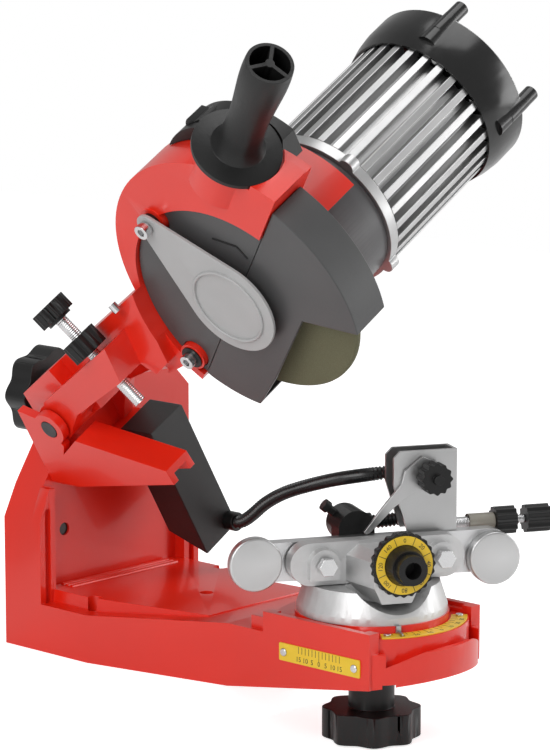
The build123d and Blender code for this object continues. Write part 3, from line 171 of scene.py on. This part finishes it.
def mottled(name, slot, scale, dark, light, base, fine, swing, **settings):
    """A finish whose colour drifts at one scale and whose roughness varies at a finer one."""
    made = Finish(name, slot, **settings)
    made.set(Base_Color=made.blend(made.noise(scale), dark, light))
    made.set(Roughness=base + made.noise(fine) * swing)
    return made


def smooth_shade(mesh, angle):
    """Round where the faces turn by less than the angle, crisp along the other edges."""
    mesh.polygons.foreach_set("use_smooth", [True] * len(mesh.polygons))
    mesh.set_sharp_from_angle(angle=math.radians(angle))


def settle(name, mesh, finish, body, stands_for=()):
    """A finished piece on its body, with its material and the nodes it stands for."""
    made = bpy.data.objects.new(name, mesh)
    scene.collection.objects.link(made)
    made.data.materials.clear()
    made.data.materials.append(finish.material)
    if body:
        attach(made, body)
    if stands_for:
        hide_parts(*stands_for)
    return made


MM = Matrix.Scale(0.001, 4)

# the head's frame: x to the rear, y up across the wheel, z along the motor's shaft
shaft_rise = math.radians(30.6)
HEAD = Matrix((
    (0, -math.sin(shaft_rise), math.cos(shaft_rise), -0.091),
    (1, 0, 0, -0.1543),
    (0, math.cos(shaft_rise), math.sin(shaft_rise), 0.241),
    (0, 0, 0, 1),
))
HEAD_MM = HEAD @ MM
shaft = HEAD.to_3x3() @ Vector((0, 0, 1))

# the vise's frame: x along the rail, y to the rear, z up
rail_turn = math.radians(-30)
VISE_MM = Matrix.Translation((0, -0.175, 0)) @ Matrix.Rotation(rail_turn, 4, "Z") @ MM
along_rail = VISE_MM.to_3x3() @ Vector((1, 0, 0))
across_rail = VISE_MM.to_3x3() @ Vector((0, 1, 0))


def at_head(x, y, z):
    """A point given in millimetres in the head's frame."""
    return HEAD_MM @ Vector((x, y, z))


def at_vise(x, y, z):
    """A point given in millimetres in the vise's frame."""
    return VISE_MM @ Vector((x, y, z))


hose_radius = 0.00425
rib_depth = 0.0011
rib_points = 4
rib_step = 0.0006
hose_route = [
    at_head(136.7, -221, 36),
    at_head(131.5, -221, 36),
    Vector((0.050, -0.050, 0.091)),
    Vector((0.047, -0.095, 0.107)),
    at_vise(8, 34, 122),
    at_vise(36, 27, 125),
    at_vise(44, 30, 108),
    at_vise(36, 27.3, 95),
    at_vise(8, 27.3, 95),
]


def spline_points(route):
    """Points along the smooth line that the route's corners pull on."""
    curve = bpy.data.curves.new("route", "CURVE")
    curve.dimensions = "3D"
    spline = curve.splines.new("NURBS")
    spline.points.add(len(route) - 1)
    for point, place in zip(spline.points, route):
        point.co = (*place, 1)
    spline.order_u = 3
    spline.use_endpoint_u = True
    spline.resolution_u = 40
    holder = bpy.data.objects.new("route", curve)
    mesh = bpy.data.meshes.new_from_object(holder)
    places = [v.co.copy() for v in mesh.vertices]
    bpy.data.objects.remove(holder)
    return places


def evenly(places, step):
    """The same line with its points a step apart."""
    found = [places[0]]
    carried = 0.0
    for start, end in zip(places, places[1:]):
        run = (end - start).length
        while carried + run >= step and run > 0:
            start = start.lerp(end, (step - carried) / run)
            found.append(start)
            run = (end - start).length
            carried = 0.0
        carried += run
    return found


def ribbed_tube(name, places, radius, depth):
    """A tube whose radius rises and falls along its length, one rib every few points."""
    curve = bpy.data.curves.new(name, "CURVE")
    curve.dimensions = "3D"
    curve.bevel_depth = radius
    curve.bevel_resolution = 4
    curve.use_fill_caps = True
    spline = curve.splines.new("POLY")
    spline.points.add(len(places) - 1)
    for index, place in enumerate(places):
        spline.points[index].co = (*place, 1)
        ripple = 0.5 - 0.5 * math.cos(2 * math.pi * index / rib_points)
        spline.points[index].radius = 1 - depth * ripple / radius
    holder = bpy.data.objects.new(name, curve)
    mesh = bpy.data.meshes.new_from_object(holder)
    bpy.data.objects.remove(holder)
    mesh.name = name
    smooth_shade(mesh, 60)
    return mesh


rubber = Finish("hose rubber", "black_rubber", Roughness=0.26)
dust = rubber.noise(220, 4)
rubber.set(Base_Color=rubber.blend(dust, (0.006, 0.006, 0.006), (0.016, 0.016, 0.017)))

hose_places = evenly(spline_points(hose_route), rib_step)
twelfth = (len(hose_places) - 1) // (12 * rib_points) * rib_points
runs = (
    ("bracket", "bed", 0, 3 * twelfth),
    ("bed", "cradle", 3 * twelfth, 5 * twelfth),
    ("cradle", "vise", 5 * twelfth, len(hose_places) - 1),
)
for number, (first_body, second_body, start, stop) in enumerate(runs, 1):
    run = hose_places[start:stop + 1]
    mesh = ribbed_tube("hose_run", run, hose_radius, rib_depth)
    hose = settle("hose_run_%d" % number, mesh, rubber, None, ("hydraulic_hose",))
    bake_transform(hose)


# ---------------------------------------------------------------- studio
# A pale bench top under the bed, dropped at its front edge where the knob hangs, in
# plain white light from a large panel on the left and two smaller ones.
bench_half = 1.6
bench_front = -0.1
bench_mesh = bpy.data.meshes.new("bench_top")
bm = bmesh.new()
bmesh.ops.create_grid(bm, x_segments=1, y_segments=1, size=bench_half)
bmesh.ops.translate(bm, verts=bm.verts, vec=(0, bench_half + bench_front, 0))
edge = [e for e in bm.edges if all(v.co.y < 0 for v in e.verts)]
for reach in ((0, 0, -0.0275), (0, -2.0, 0)):
    grown = bmesh.ops.extrude_edge_only(bm, edges=edge)["geom"]
    corners = [v for v in grown if isinstance(v, bmesh.types.BMVert)]
    bmesh.ops.translate(bm, verts=corners, vec=reach)
    grown_edges = [e for e in grown if isinstance(e, bmesh.types.BMEdge)]
    edge = [e for e in grown_edges if all(v in corners for v in e.verts)]
bmesh.ops.recalc_face_normals(bm, faces=bm.faces)
bm.to_mesh(bench_mesh)
bm.free()
bench = bpy.data.objects.new("bench_top", bench_mesh)
scene.collection.objects.link(bench)

# the bench shows white to the camera and half as bright in reflections
paper = Finish("white paper", None, Base_Color=(0.86, 0.86, 0.86), Roughness=0.9)
glow = paper.node("ShaderNodeEmission", {}, {"Color": (1, 1, 1), "Strength": 0.70})
dark = paper.node("ShaderNodeEmission", {}, {"Color": (1, 1, 1), "Strength": 0.0})
share = paper.ray("Is Camera Ray") + paper.ray("Is Glossy Ray") * 0.5
shown = paper.node("ShaderNodeMixShader", {}, {0: share, 1: dark, 2: glow})
matt = Value(paper, paper.shader.outputs[0])
both = paper.node("ShaderNodeAddShader", {}, {0: matt, 1: shown})
paper.join(paper.tree.nodes["Material Output"].inputs["Surface"], both)
bench.data.materials.append(paper.material)

# the world is white where it is seen, and a soft grey light everywhere else
scene.world = bpy.data.worlds.new("studio")
scene.world.use_nodes = True
sky = Graph(scene.world.node_tree)
backdrop = sky.tree.nodes["Background"]
sky.join(backdrop.inputs["Color"], (1, 1, 1))
white = Value(sky, backdrop.outputs[0])
soft = sky.node("ShaderNodeBackground", {}, {"Color": (1, 1, 1), "Strength": 0.27})
seen = sky.ray("Is Camera Ray") + sky.ray("Is Transmission Ray")
share = sky.ray("Is Glossy Ray") * 0.3 + seen
mixed = sky.node("ShaderNodeMixShader", {}, {0: share, 1: soft, 2: white})
sky.join(sky.tree.nodes["World Output"].inputs["Surface"], mixed)


def panel(name, place, width, height, power):
    """A soft rectangular lamp that looks at the middle of the machine."""
    lamp = bpy.data.lights.new(name, "AREA")
    lamp.shape = "RECTANGLE"
    lamp.size = width
    lamp.size_y = height
    lamp.energy = power
    holder = bpy.data.objects.new(name, lamp)
    away = Vector(place) - Vector((0, 0, 0.2))
    holder.location = place
    holder.rotation_euler = away.to_track_quat("Z", "Y").to_euler()
    scene.collection.objects.link(holder)


panel("left_panel", (-1.6, -0.5, 1.0), 1.2, 1.4, 20)
panel("top_panel", (0.3, -0.3, 1.7), 1.0, 1.0, 8)
panel("right_panel", (1.5, -1.3, 0.7), 0.8, 1.3, 14)


# ---------------------------------------------------------------- bed and column
# One casting in red gloss enamel, bolted to the bench: a bed with a trough for the
# cradle, and an upright column that carries the arm.  Its edges are rounded as cast.
def cast_copy(node, name, finish, width, segments=2, cut=None):
    """The node's shape with its edges broken, standing for it.  A cut is a point and a
    direction: what lies behind that plane is left off, and the opening is closed."""
    source = frame["nodes"][node]
    bm = bmesh.new()
    bm.from_mesh(source.data)
    bmesh.ops.remove_doubles(bm, verts=bm.verts, dist=2e-6)
    if cut:
        point, direction = cut
        everything = bm.verts[:] + bm.edges[:] + bm.faces[:]
        sliced = bmesh.ops.bisect_plane(bm, geom=everything, plane_co=point,
                                        plane_no=direction, clear_inner=True)
        rim = [e for e in sliced["geom_cut"] if isinstance(e, bmesh.types.BMEdge)]
        bmesh.ops.triangle_fill(bm, edges=rim, use_beauty=True)
    bmesh.ops.dissolve_limit(bm, angle_limit=math.radians(1.5), verts=bm.verts, edges=bm.edges)
    mesh = bpy.data.meshes.new(name)
    bm.to_mesh(mesh)
    bm.free()
    smooth_shade(mesh, 40)
    made = settle(name, mesh, finish, source["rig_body"], (node,))
    rounding = made.modifiers.new("edges", "BEVEL")
    rounding.limit_method = "ANGLE"
    rounding.angle_limit = math.radians(33)
    rounding.width = width
    rounding.segments = segments
    rounding.harden_normals = True
    rounding.use_clamp_overlap = True


enamel = Finish("red enamel", "red_paint", Coat_Weight=0.22, Coat_Roughness=0.05)
cloud = enamel.noise(14)
ripple = enamel.noise(90, 2) * 0.85 + enamel.noise(420, 2) * 0.15
enamel.set(Base_Color=enamel.blend(cloud, (0.70, 0.015, 0.004), (0.84, 0.024, 0.008)))
enamel.set(Roughness=0.26 + cloud * 0.10)
enamel.bump(ripple, 0.10, 0.0006)
cast_copy("base_casting", "bed", enamel, 0.0016, 3)


def bars(name, finish, body, runs):
    """Round bars from point to point, each with a radius at either end, as one piece."""
    bm = bmesh.new()
    for start, end, first, last in runs:
        along = end - start
        turn = along.to_track_quat("Z", "Y").to_matrix().to_4x4()
        place = Matrix.Translation((start + end) / 2) @ turn
        bmesh.ops.create_cone(bm, cap_ends=True, segments=24, radius1=first, radius2=last,
                              depth=along.length, matrix=place)
    mesh = bpy.data.meshes.new(name)
    bm.to_mesh(mesh)
    bm.free()
    smooth_shade(mesh, 40)
    settle(name, mesh, finish, body)


def hoop(name, finish, body, centre, axis, radius, wire):
    """A thin round bead that runs round an axis."""
    bm = bmesh.new()
    upright = Matrix.Rotation(math.radians(90), 4, "X")
    section = Matrix.Translation((radius, 0, 0)) @ upright
    bmesh.ops.create_circle(bm, segments=8, radius=wire, matrix=section)
    bmesh.ops.spin(bm, geom=bm.verts[:] + bm.edges[:], cent=(0, 0, 0), axis=(0, 0, 1),
                   angle=2 * math.pi, steps=72, use_merge=True)
    bmesh.ops.remove_doubles(bm, verts=bm.verts, dist=1e-6)
    bmesh.ops.recalc_face_normals(bm, faces=bm.faces)
    place = Matrix.Translation(centre) @ axis.to_track_quat("Z", "Y").to_matrix().to_4x4()
    bmesh.ops.transform(bm, matrix=place, verts=bm.verts)
    mesh = bpy.data.meshes.new(name)
    bm.to_mesh(mesh)
    bm.free()
    smooth_shade(mesh, 60)
    settle(name, mesh, finish, body)


# cast beads across the foot of the column, and a black disc in its cable hole, a painted shade for
# the dark inside of the hollow column
bead_radius = 0.0013
beads = []
for y in (0.0300, 0.0340, 0.0380):
    beads.append((Vector((-0.046, y, 0.037)), Vector((0.046, y, 0.037)), bead_radius, bead_radius))
bars("foot_beads", enamel, "bed", beads)
# painted shade: a black disc set in the cable hole where the hollow column shows only shade
hole_shade_radius = 0.0041
hole_shade_front = Vector((-0.041, 0.0425, 0.071))
hole_shade_back = Vector((-0.041, 0.0465, 0.071))
bars("cable_hole_shade", rubber, "bed", [(hole_shade_front, hole_shade_back, hole_shade_radius, hole_shade_radius)])

yellow = mottled("yellow plate", "yellow_plate", 90, (0.80, 0.52, 0.02), (0.90, 0.62, 0.04),
                 0.30, 500, 0.12, Metallic=0.0)
bright = mottled("plated steel", "chrome_steel", 60, (0.52, 0.52, 0.52), (0.70, 0.70, 0.71),
                 0.14, 300, 0.12, Metallic=1.0)
cast_copy("side_scale", "side_scale_plate", yellow, 0.0001, 1)
cast_copy("side_scale_screws", "side_scale_heads", bright, 0.0002)

ink = Finish("black print", "black_plastic", Roughness=0.5)
fade = ink.noise(800, 2)
ink.set(Base_Color=ink.blend(fade, (0.010, 0.010, 0.010), (0.022, 0.021, 0.020)))
print_height = 0.03
line_width = 0.34


def stamp(bm, text, size, place):
    """Adds a numeral to a mesh, in millimetres, centred at a placing matrix."""
    words = bpy.data.curves.new("numeral", "FONT")
    words.body = text
    words.size = size
    words.align_x = "CENTER"
    words.align_y = "CENTER"
    words.extrude = print_height
    words.resolution_u = 2
    holder = bpy.data.objects.new("numeral", words)
    mesh = bpy.data.meshes.new_from_object(holder)
    mesh.transform(place)
    bm.from_mesh(mesh)
    bpy.data.objects.remove(holder)


def tick(bm, length, place):
    """Adds one thin printed line, in millimetres, centred at a placing matrix."""
    made = bmesh.ops.create_cube(bm, size=1.0)
    size = Matrix.Diagonal((line_width, length, 2 * print_height, 1))
    bmesh.ops.transform(bm, matrix=place @ size, verts=made["verts"])


def printed(bm, name, body):
    """The print as a piece of its own."""
    bm.transform(MM)
    mesh = bpy.data.meshes.new(name)
    bm.to_mesh(mesh)
    bm.free()
    settle(name, mesh, ink, body)


# degrees of rock, either side of upright, on the left cheek of the bed
bm = bmesh.new()
on_side = Matrix.Translation((-49.82, -178.4, 29)) @ Matrix((
    (0, 0, -1, 0), (-1, 0, 0, 0), (0, 1, 0, 0), (0, 0, 0, 1)))
tick_pitch = 2.62
tick_top = 4.9
for index in range(-6, 7):
    tall = 6.4 if index == 0 else 4.0
    tick(bm, tall, on_side @ Matrix.Translation((tick_pitch * index, tick_top - tall / 2, 0)))
for index in range(-3, 4):
    under = on_side @ Matrix.Translation((2 * tick_pitch * index, -2.6, 0))
    stamp(bm, str(abs(5 * index)), 4.2, under)
printed(bm, "side_scale_print", "bed")


# ---------------------------------------------------------------- tilting cradle
# A red enamelled disc that rocks in the bed's trough, with a raised ring for the
# turret and a yellow angle scale held by two small screws.
cast_copy("vise_cradle", "cradle_disc", enamel, 0.0008)
cast_copy("arc_scale", "arc_scale_plate", yellow, 0.0001, 1)
cast_copy("arc_scale_screws", "arc_scale_heads", bright, 0.0003)

bm = bmesh.new()
on_arc = Matrix.Translation((0, -175, 46.22))
tick_inner = 46.4
numeral_radius = 53.0
for degree in range(-40, 41, 5):
    tall = 4.4 if degree % 10 == 0 else 3.4
    turn = Matrix.Rotation(math.radians(degree), 4, "Z")
    tick(bm, tall, on_arc @ turn @ Matrix.Translation((0, -tick_inner - tall / 2, 0)))
for degree in range(-30, 31, 10):
    turn = Matrix.Rotation(math.radians(degree), 4, "Z")
    stamp(bm, str(abs(degree)), 4.0, on_arc @ turn @ Matrix.Translation((0, -numeral_radius, 0)))
printed(bm, "arc_scale_print", "cradle")


# ---------------------------------------------------------------- clamp under the cradle
# A steel stud hangs from the turret through the trough; a scalloped black plastic
# knob and a curved steel washer pull the cradle tight.
black = Finish("black moulding", "black_plastic", Specular_IOR_Level=0.35)
grain = black.noise(700)
black.set(Base_Color=black.blend(black.noise(40), (0.004, 0.004, 0.004), (0.009, 0.009, 0.009)))
black.set(Roughness=0.30 + grain * 0.14)
black.bump(grain, 0.10, 0.0004)
steel = mottled("turned steel", "steel", 80, (0.36, 0.36, 0.37), (0.55, 0.55, 0.55),
                0.26, 400, 0.15, Metallic=1.0)
cast_copy("clamp_stud", "clamp_stud_rod", steel, 0.0004)
cast_copy("clamp_knob", "clamp_knob_grip", black, 0.0022, 3)
cast_copy("clamp_washer", "clamp_washer_plate", steel, 0.0004)


# ---------------------------------------------------------------- turret and jaws
# Blasted aluminium castings: a turret on its ring, the fixed rear jaw with its long
# milled rail, and the short front jaw, which slides on two hexagon guide bolts.
casting = Finish("blasted aluminium", "cast_aluminium", Metallic=0.85)
speckle = casting.noise(800, 4, 0.6)
patches = casting.noise(45, 4)
casting.set(Base_Color=casting.blend(patches, (0.50, 0.50, 0.50), (0.70, 0.70, 0.70)))
casting.set(Roughness=0.38 + speckle * 0.20)
casting.bump(speckle, 0.16, 0.0005)
milled = mottled("milled aluminium", "machined_aluminium", 50, (0.56, 0.56, 0.57),
                 (0.74, 0.74, 0.74), 0.28, 160, 0.12, Metallic=1.0)
cast_copy("turret", "turret_body", casting, 0.0010, 3)
cast_copy("angle_pointer", "angle_pointer_tip", steel, 0.0001, 1)
cast_copy("rear_jaw", "rear_jaw_rail", milled, 0.0006)
cast_copy("front_jaw", "front_jaw_body", casting, 0.0010, 3)
cast_copy("jaw_guide_bolts", "jaw_bolts", bright, 0.0004)


# ---------------------------------------------------------------- width dial
# A black plastic knob with a printed yellow ring sets how wide the jaws open; its
# hollow hub runs through the front jaw, and a thin steel ring holds it there.
cast_copy("width_dial", "dial_knob", black, 0.0005)
cast_copy("dial_face", "dial_ring", yellow, 0.0001, 1)
bm = bmesh.new()
facing = Matrix.Rotation(math.radians(90), 4, "X")
on_dial = MM.inverted() @ (VISE_MM @ Matrix.Translation((5, -42.42, 84.4)) @ facing)
for index in range(8):
    turn = Matrix.Rotation(math.radians(45 * index + 22.5), 4, "Z")
    tick(bm, 4.6, on_dial @ turn @ Matrix.Translation((0, 14.5, 0)))
for index in range(8):
    turn = Matrix.Rotation(math.radians(-45 * index), 4, "Z")
    stamp(bm, "%d" % (20 * index), 3.6, on_dial @ turn @ Matrix.Translation((0, 14.4, 0)))
printed(bm, "dial_print", "dial")
hoop("dial_collar_ring", bright, "dial", at_vise(5, -56.8, 84.4), across_rail, 0.0083, 0.0003)


# ---------------------------------------------------------------- chain rollers
# Two plated steel discs, turned to fine rings, spin on pins at the ends of the rail
# and carry the loose chain.
ring_rate = 9000
fade_rate = 63
towards_front = (math.sin(-rail_turn), -math.cos(-rail_turn), 0)
for side, middle in (("left", at_vise(-72, -3, 81.8)), ("right", at_vise(74, -3, 75.8))):
    disc = Finish("turned disc " + side, "chrome_steel", Metallic=1.0)
    offset = disc.node("ShaderNodeVectorMath", {"operation": "SUBTRACT"},
                       {0: disc.place, 1: tuple(middle)})
    across = disc.node("ShaderNodeVectorMath", {"operation": "CROSS_PRODUCT"},
                       {0: offset, 1: towards_front})
    radius = disc.node("ShaderNodeVectorMath", {"operation": "LENGTH"}, {0: across}, output=1)
    rings = disc.maths("SINE", radius * ring_rate) * 0.5 + 0.5
    shade = disc.blend(radius * fade_rate, (0.62, 0.62, 0.62), (0.50, 0.50, 0.50))
    disc.set(Base_Color=shade, Roughness=0.28 + rings * 0.12 + disc.noise(300) * 0.06)
    cast_copy("chain_roller_" + side, "roller_disc_" + side, disc, 0.0009, 3)
cast_copy("roller_pins", "roller_axles", steel, 0.0002, 1)


# ---------------------------------------------------------------- chain stop
# A folded aluminium channel on the rail carries a pawl on a ribbed plastic knob, and
# a plated screw in a grey sleeve, with its lock knob, that sets it along the rail.
folded = mottled("folded aluminium", "machined_aluminium", 30, (0.40, 0.40, 0.40),
                 (0.52, 0.52, 0.52), 0.26, 250, 0.12, Metallic=1.0)
cast_copy("stop_channel", "stop_channel_wall", folded, 0.0008, 3)
cast_copy("chain_stop", "pawl_plate", folded, 0.0003)
cast_copy("stop_knob", "pawl_knob", black, 0.0004)
putty = Finish("warm grey sleeve", "sleeve_plastic", Roughness=0.5)
putty.set(Base_Color=putty.blend(putty.noise(120), (0.26, 0.24, 0.20), (0.36, 0.34, 0.29)))


def on_stop_screw(x):
    """A point on the stop screw's axis, in millimetres along the rail."""
    return at_vise(x, 19.5, 92.6)


cast_copy("stop_sleeve", "stop_sleeve_tube", putty, 0.0005, cut=(on_stop_screw(66), along_rail))
cast_copy("stop_lock_knob", "stop_lock_grip", black, 0.0004)
cast_copy("stop_screw", "stop_screw_grip", black, 0.0004, cut=(on_stop_screw(101.4), along_rail))


def threaded_rod(name, start, end, radius, pitch, body, stands_for):
    """A plated rod with a thread, from point to point."""
    count = int((end - start).length / (pitch / rib_points))
    places = [start.lerp(end, index / count) for index in range(count + 1)]
    mesh = ribbed_tube(name, places, radius, radius * 0.07)
    settle(name, mesh, bright, body, stands_for)


threaded_rod("stop_bush", on_stop_screw(52.8), on_stop_screw(66.2), 0.0036, 0.0010,
             "vise", ("stop_sleeve",))
threaded_rod("stop_thread", on_stop_screw(41), on_stop_screw(102.5), 0.00248, 0.0008,
             "stop_adjuster", ("stop_screw",))


# ---------------------------------------------------------------- clamping cylinder
# A small black cylinder screwed on behind the rear jaw and fed by the hose, with a
# nipple to let the air out.
cast_copy("slave_cylinder", "cylinder_body", black, 0.0006)
cast_copy("bleed_nipple", "bleed_nipple_cap", black, 0.0003)


# ---------------------------------------------------------------- tilting bracket
# A red casting clamped to the column by a stud and a black knob behind it; its lugs
# hold the arm's pivot and its channel-shaped finger stops the arm.
cast_copy("tilt_bracket", "bracket_casting", enamel, 0.0012, 3)
oxide = mottled("blackened steel", "steel", 120, (0.050, 0.050, 0.052), (0.085, 0.085, 0.088),
                0.34, 500, 0.14, Metallic=1.0)
cast_copy("pivot_pin", "pivot_pin_rod", oxide, 0.0005)
cast_copy("tilt_stud", "tilt_stud_rod", steel, 0.0004)
cast_copy("tilt_washer", "tilt_washer_disc", steel, 0.0003)
cast_copy("tilt_knob", "tilt_knob_grip", black, 0.0022, 3)


# ---------------------------------------------------------------- hydraulic box
# A folded sheet steel box in near-black paint, fixed to the bracket.  It holds the
# pressing cylinder, and the hose leaves it through a plastic gland.
slate = mottled("near black paint", "box_grey", 25, (0.018, 0.019, 0.019),
                (0.030, 0.031, 0.031), 0.34, 300, 0.12, Specular_IOR_Level=0.35)
slate.bump(slate.noise(900), 0.10, 0.0003)
cast_copy("hydraulic_box", "box_shell", slate, 0.0008)
cast_copy("hose_gland", "gland_nut", black, 0.0005)


# ---------------------------------------------------------------- arm and wheel housing
# One red casting: the arm, the drum round the upper half of the wheel and the saddle
# of the motor.  A grey moulded cover closes the drum, a grey guard goes on round the
# wheel, and two socket screws hold them and the frosted visor.
cast_copy("head_casting", "head_body", enamel, 0.0014, 3)
satin = mottled("satin grey cover", "dark_cover", 30, (0.050, 0.050, 0.051),
                (0.075, 0.075, 0.076), 0.32, 700, 0.14)
satin.bump(satin.noise(600), 0.08, 0.0003)
cast_copy("wheel_cover", "cover_disc", satin, 0.0005)

# an arrow stroke that shows which way the wheel turns, raised a little off the cover; its black
# stands for painted shade along the strokes
stroke_radius = 0.0007
corners = [at_head(x, y, 0.75) for x, y in ((0.6, 39.0), (-15.6, 35.2), (-20.2, 27.4))]
strokes = [(start, end, stroke_radius, stroke_radius) for start, end in zip(corners, corners[1:])]
# painted shade: the strokes are black, not the cover's grey, for the shade that the raised arrow
# throws
bars("cover_arrow", black, "head", strokes)
cast_copy("wheel_guard", "guard_shell", satin, 0.0040, 4)
frosted = mottled("frosted visor", "visor_plastic", 30, (0.44, 0.44, 0.44), (0.54, 0.54, 0.54),
                  0.30, 900, 0.12, Alpha=0.86)
cast_copy("visor", "visor_plate", frosted, 0.0009, 3)
hoop("visor_bead", frosted, "eye_shield", at_head(2, -2, -8.1), shaft, 0.0234, 0.0009)
cast_copy("guard_screws", "guard_screw_heads", bright, 0.0004)
cast_copy("guard_washers", "guard_washer_rings", black, 0.0002, 1)


# ---------------------------------------------------------------- grinding wheel
# A bonded abrasive wheel held between two steel flanges by a nut on the motor's
# shaft.  The pieces that turn inside the motor, and the box's cylinder and the arm's
# spring, keep their own shapes.
grit = Finish("bonded abrasive", "abrasive", Roughness=0.85)
specks = grit.noise(1500, 4, 0.7)
grit.set(Base_Color=grit.blend(specks, (0.075, 0.072, 0.036), (0.20, 0.195, 0.115)))
grit.bump(specks, 0.5, 0.0008)
cast_copy("grinding_wheel", "abrasive_wheel", grit, 0.0004)
iron = Finish("laminated iron", "copper_iron", Metallic=0.6)
iron.set(Base_Color=iron.blend(iron.noise(500), (0.12, 0.07, 0.04), (0.30, 0.18, 0.10)))
iron.set(Roughness=0.45 + iron.noise(300, 2) * 0.2)
inner_nodes = {
    steel: ("wheel_flanges", "wheel_nut", "spindle", "bearings", "master_cylinder",
            "return_spring"),
    iron: ("rotor", "stator"),
    black: ("cooling_fan",),
}
for finish, nodes in inner_nodes.items():
    for node in nodes:
        frame["nodes"][node].material_slots[0].material = finish.material


# ---------------------------------------------------------------- motor
# A black painted bell bolted to the saddle, a bright ring, a finned aluminium body and
# a black moulded end cap with posts that the motor rests on when it is put down.
graphite = mottled("graphite paint", "dark_cover", 30, (0.075, 0.075, 0.078),
                   (0.11, 0.11, 0.113), 0.30, 500, 0.12)
cast_copy("motor_bell", "motor_bell_shell", graphite, 0.0008)
extruded = mottled("extruded aluminium", "machined_aluminium", 40, (0.42, 0.42, 0.42),
                   (0.56, 0.56, 0.56), 0.30, 200, 0.12, Metallic=1.0)
cast_copy("motor_ring", "motor_ring_band", extruded, 0.0004)
cast_copy("motor_body", "motor_fins", extruded, 0.0005)
gloss = mottled("gloss moulding", "black_plastic", 40, (0.004, 0.004, 0.004),
                (0.009, 0.009, 0.009), 0.16, 300, 0.08)
cast_copy("motor_cap", "motor_cap_shell", gloss, 0.0012, 3)

# a gusset under each post, and a thin bright line round the cap's rim
gussets = []
for angle in (12, 114, 192, 294):
    out = Vector((math.cos(math.radians(angle)), math.sin(math.radians(angle)), 0))
    low = HEAD_MM @ (48.6 * out + Vector((0, 0, 186)))
    high = HEAD_MM @ (51 * out + Vector((0, 0, 212)))
    gussets.append((low, high, 0.0064, 0.0046))
bars("cap_gussets", gloss, "head", gussets)
hoop("cap_rear_ring", extruded, "head", at_head(0, 0, 209.0), shaft, 0.0521, 0.0005)


# ---------------------------------------------------------------- handle and switch
# A hollow black moulded grip on a round flange, screwed to the drum, and the moulded
# switch box beside it.  The key's foot is cut off level in the box, clear of the drum.
cast_copy("handle", "handle_grip", black, 0.0012, 3)
cast_copy("switch_housing", "switch_box", black, 0.0015, 3)
key_up = HEAD.to_3x3() @ Vector((0, 1, 0))
cast_copy("switch_rocker", "switch_key", black, 0.0006, cut=(at_head(6, 95, 0), key_up))


# ---------------------------------------------------------------- depth screw
# A plated threaded rod with a ribbed black knob, and a second knob that locks it in
# the arm, set how far the wheel comes down.  A small plated screw sits beside it.
lean = math.radians(33.3)
screw_up = Vector((math.sin(lean), math.cos(lean), 0))
screw_tip = Vector((93.0, -71.2, -24.0))


def on_depth_screw(height):
    """A point on the depth screw's axis, in millimetres above its tip."""
    return HEAD_MM @ (screw_tip + height * screw_up)


small_foot = Vector((88.5, -11.4, -14))
small_head = small_foot + 5.5 * screw_up
bars("arm_screw", bright, "head", [(HEAD_MM @ small_foot, HEAD_MM @ small_head, 0.0026, 0.0026)])
cast_copy("depth_screw", "depth_grip", black, 0.0004,
          cut=(on_depth_screw(66.8), HEAD.to_3x3() @ screw_up))
cast_copy("depth_lock_knob", "depth_lock_grip", black, 0.0004)
threaded_rod("depth_thread", on_depth_screw(0.3), on_depth_screw(67.5), 0.00398, 0.00125,
             "depth_adjuster", ("depth_screw",))
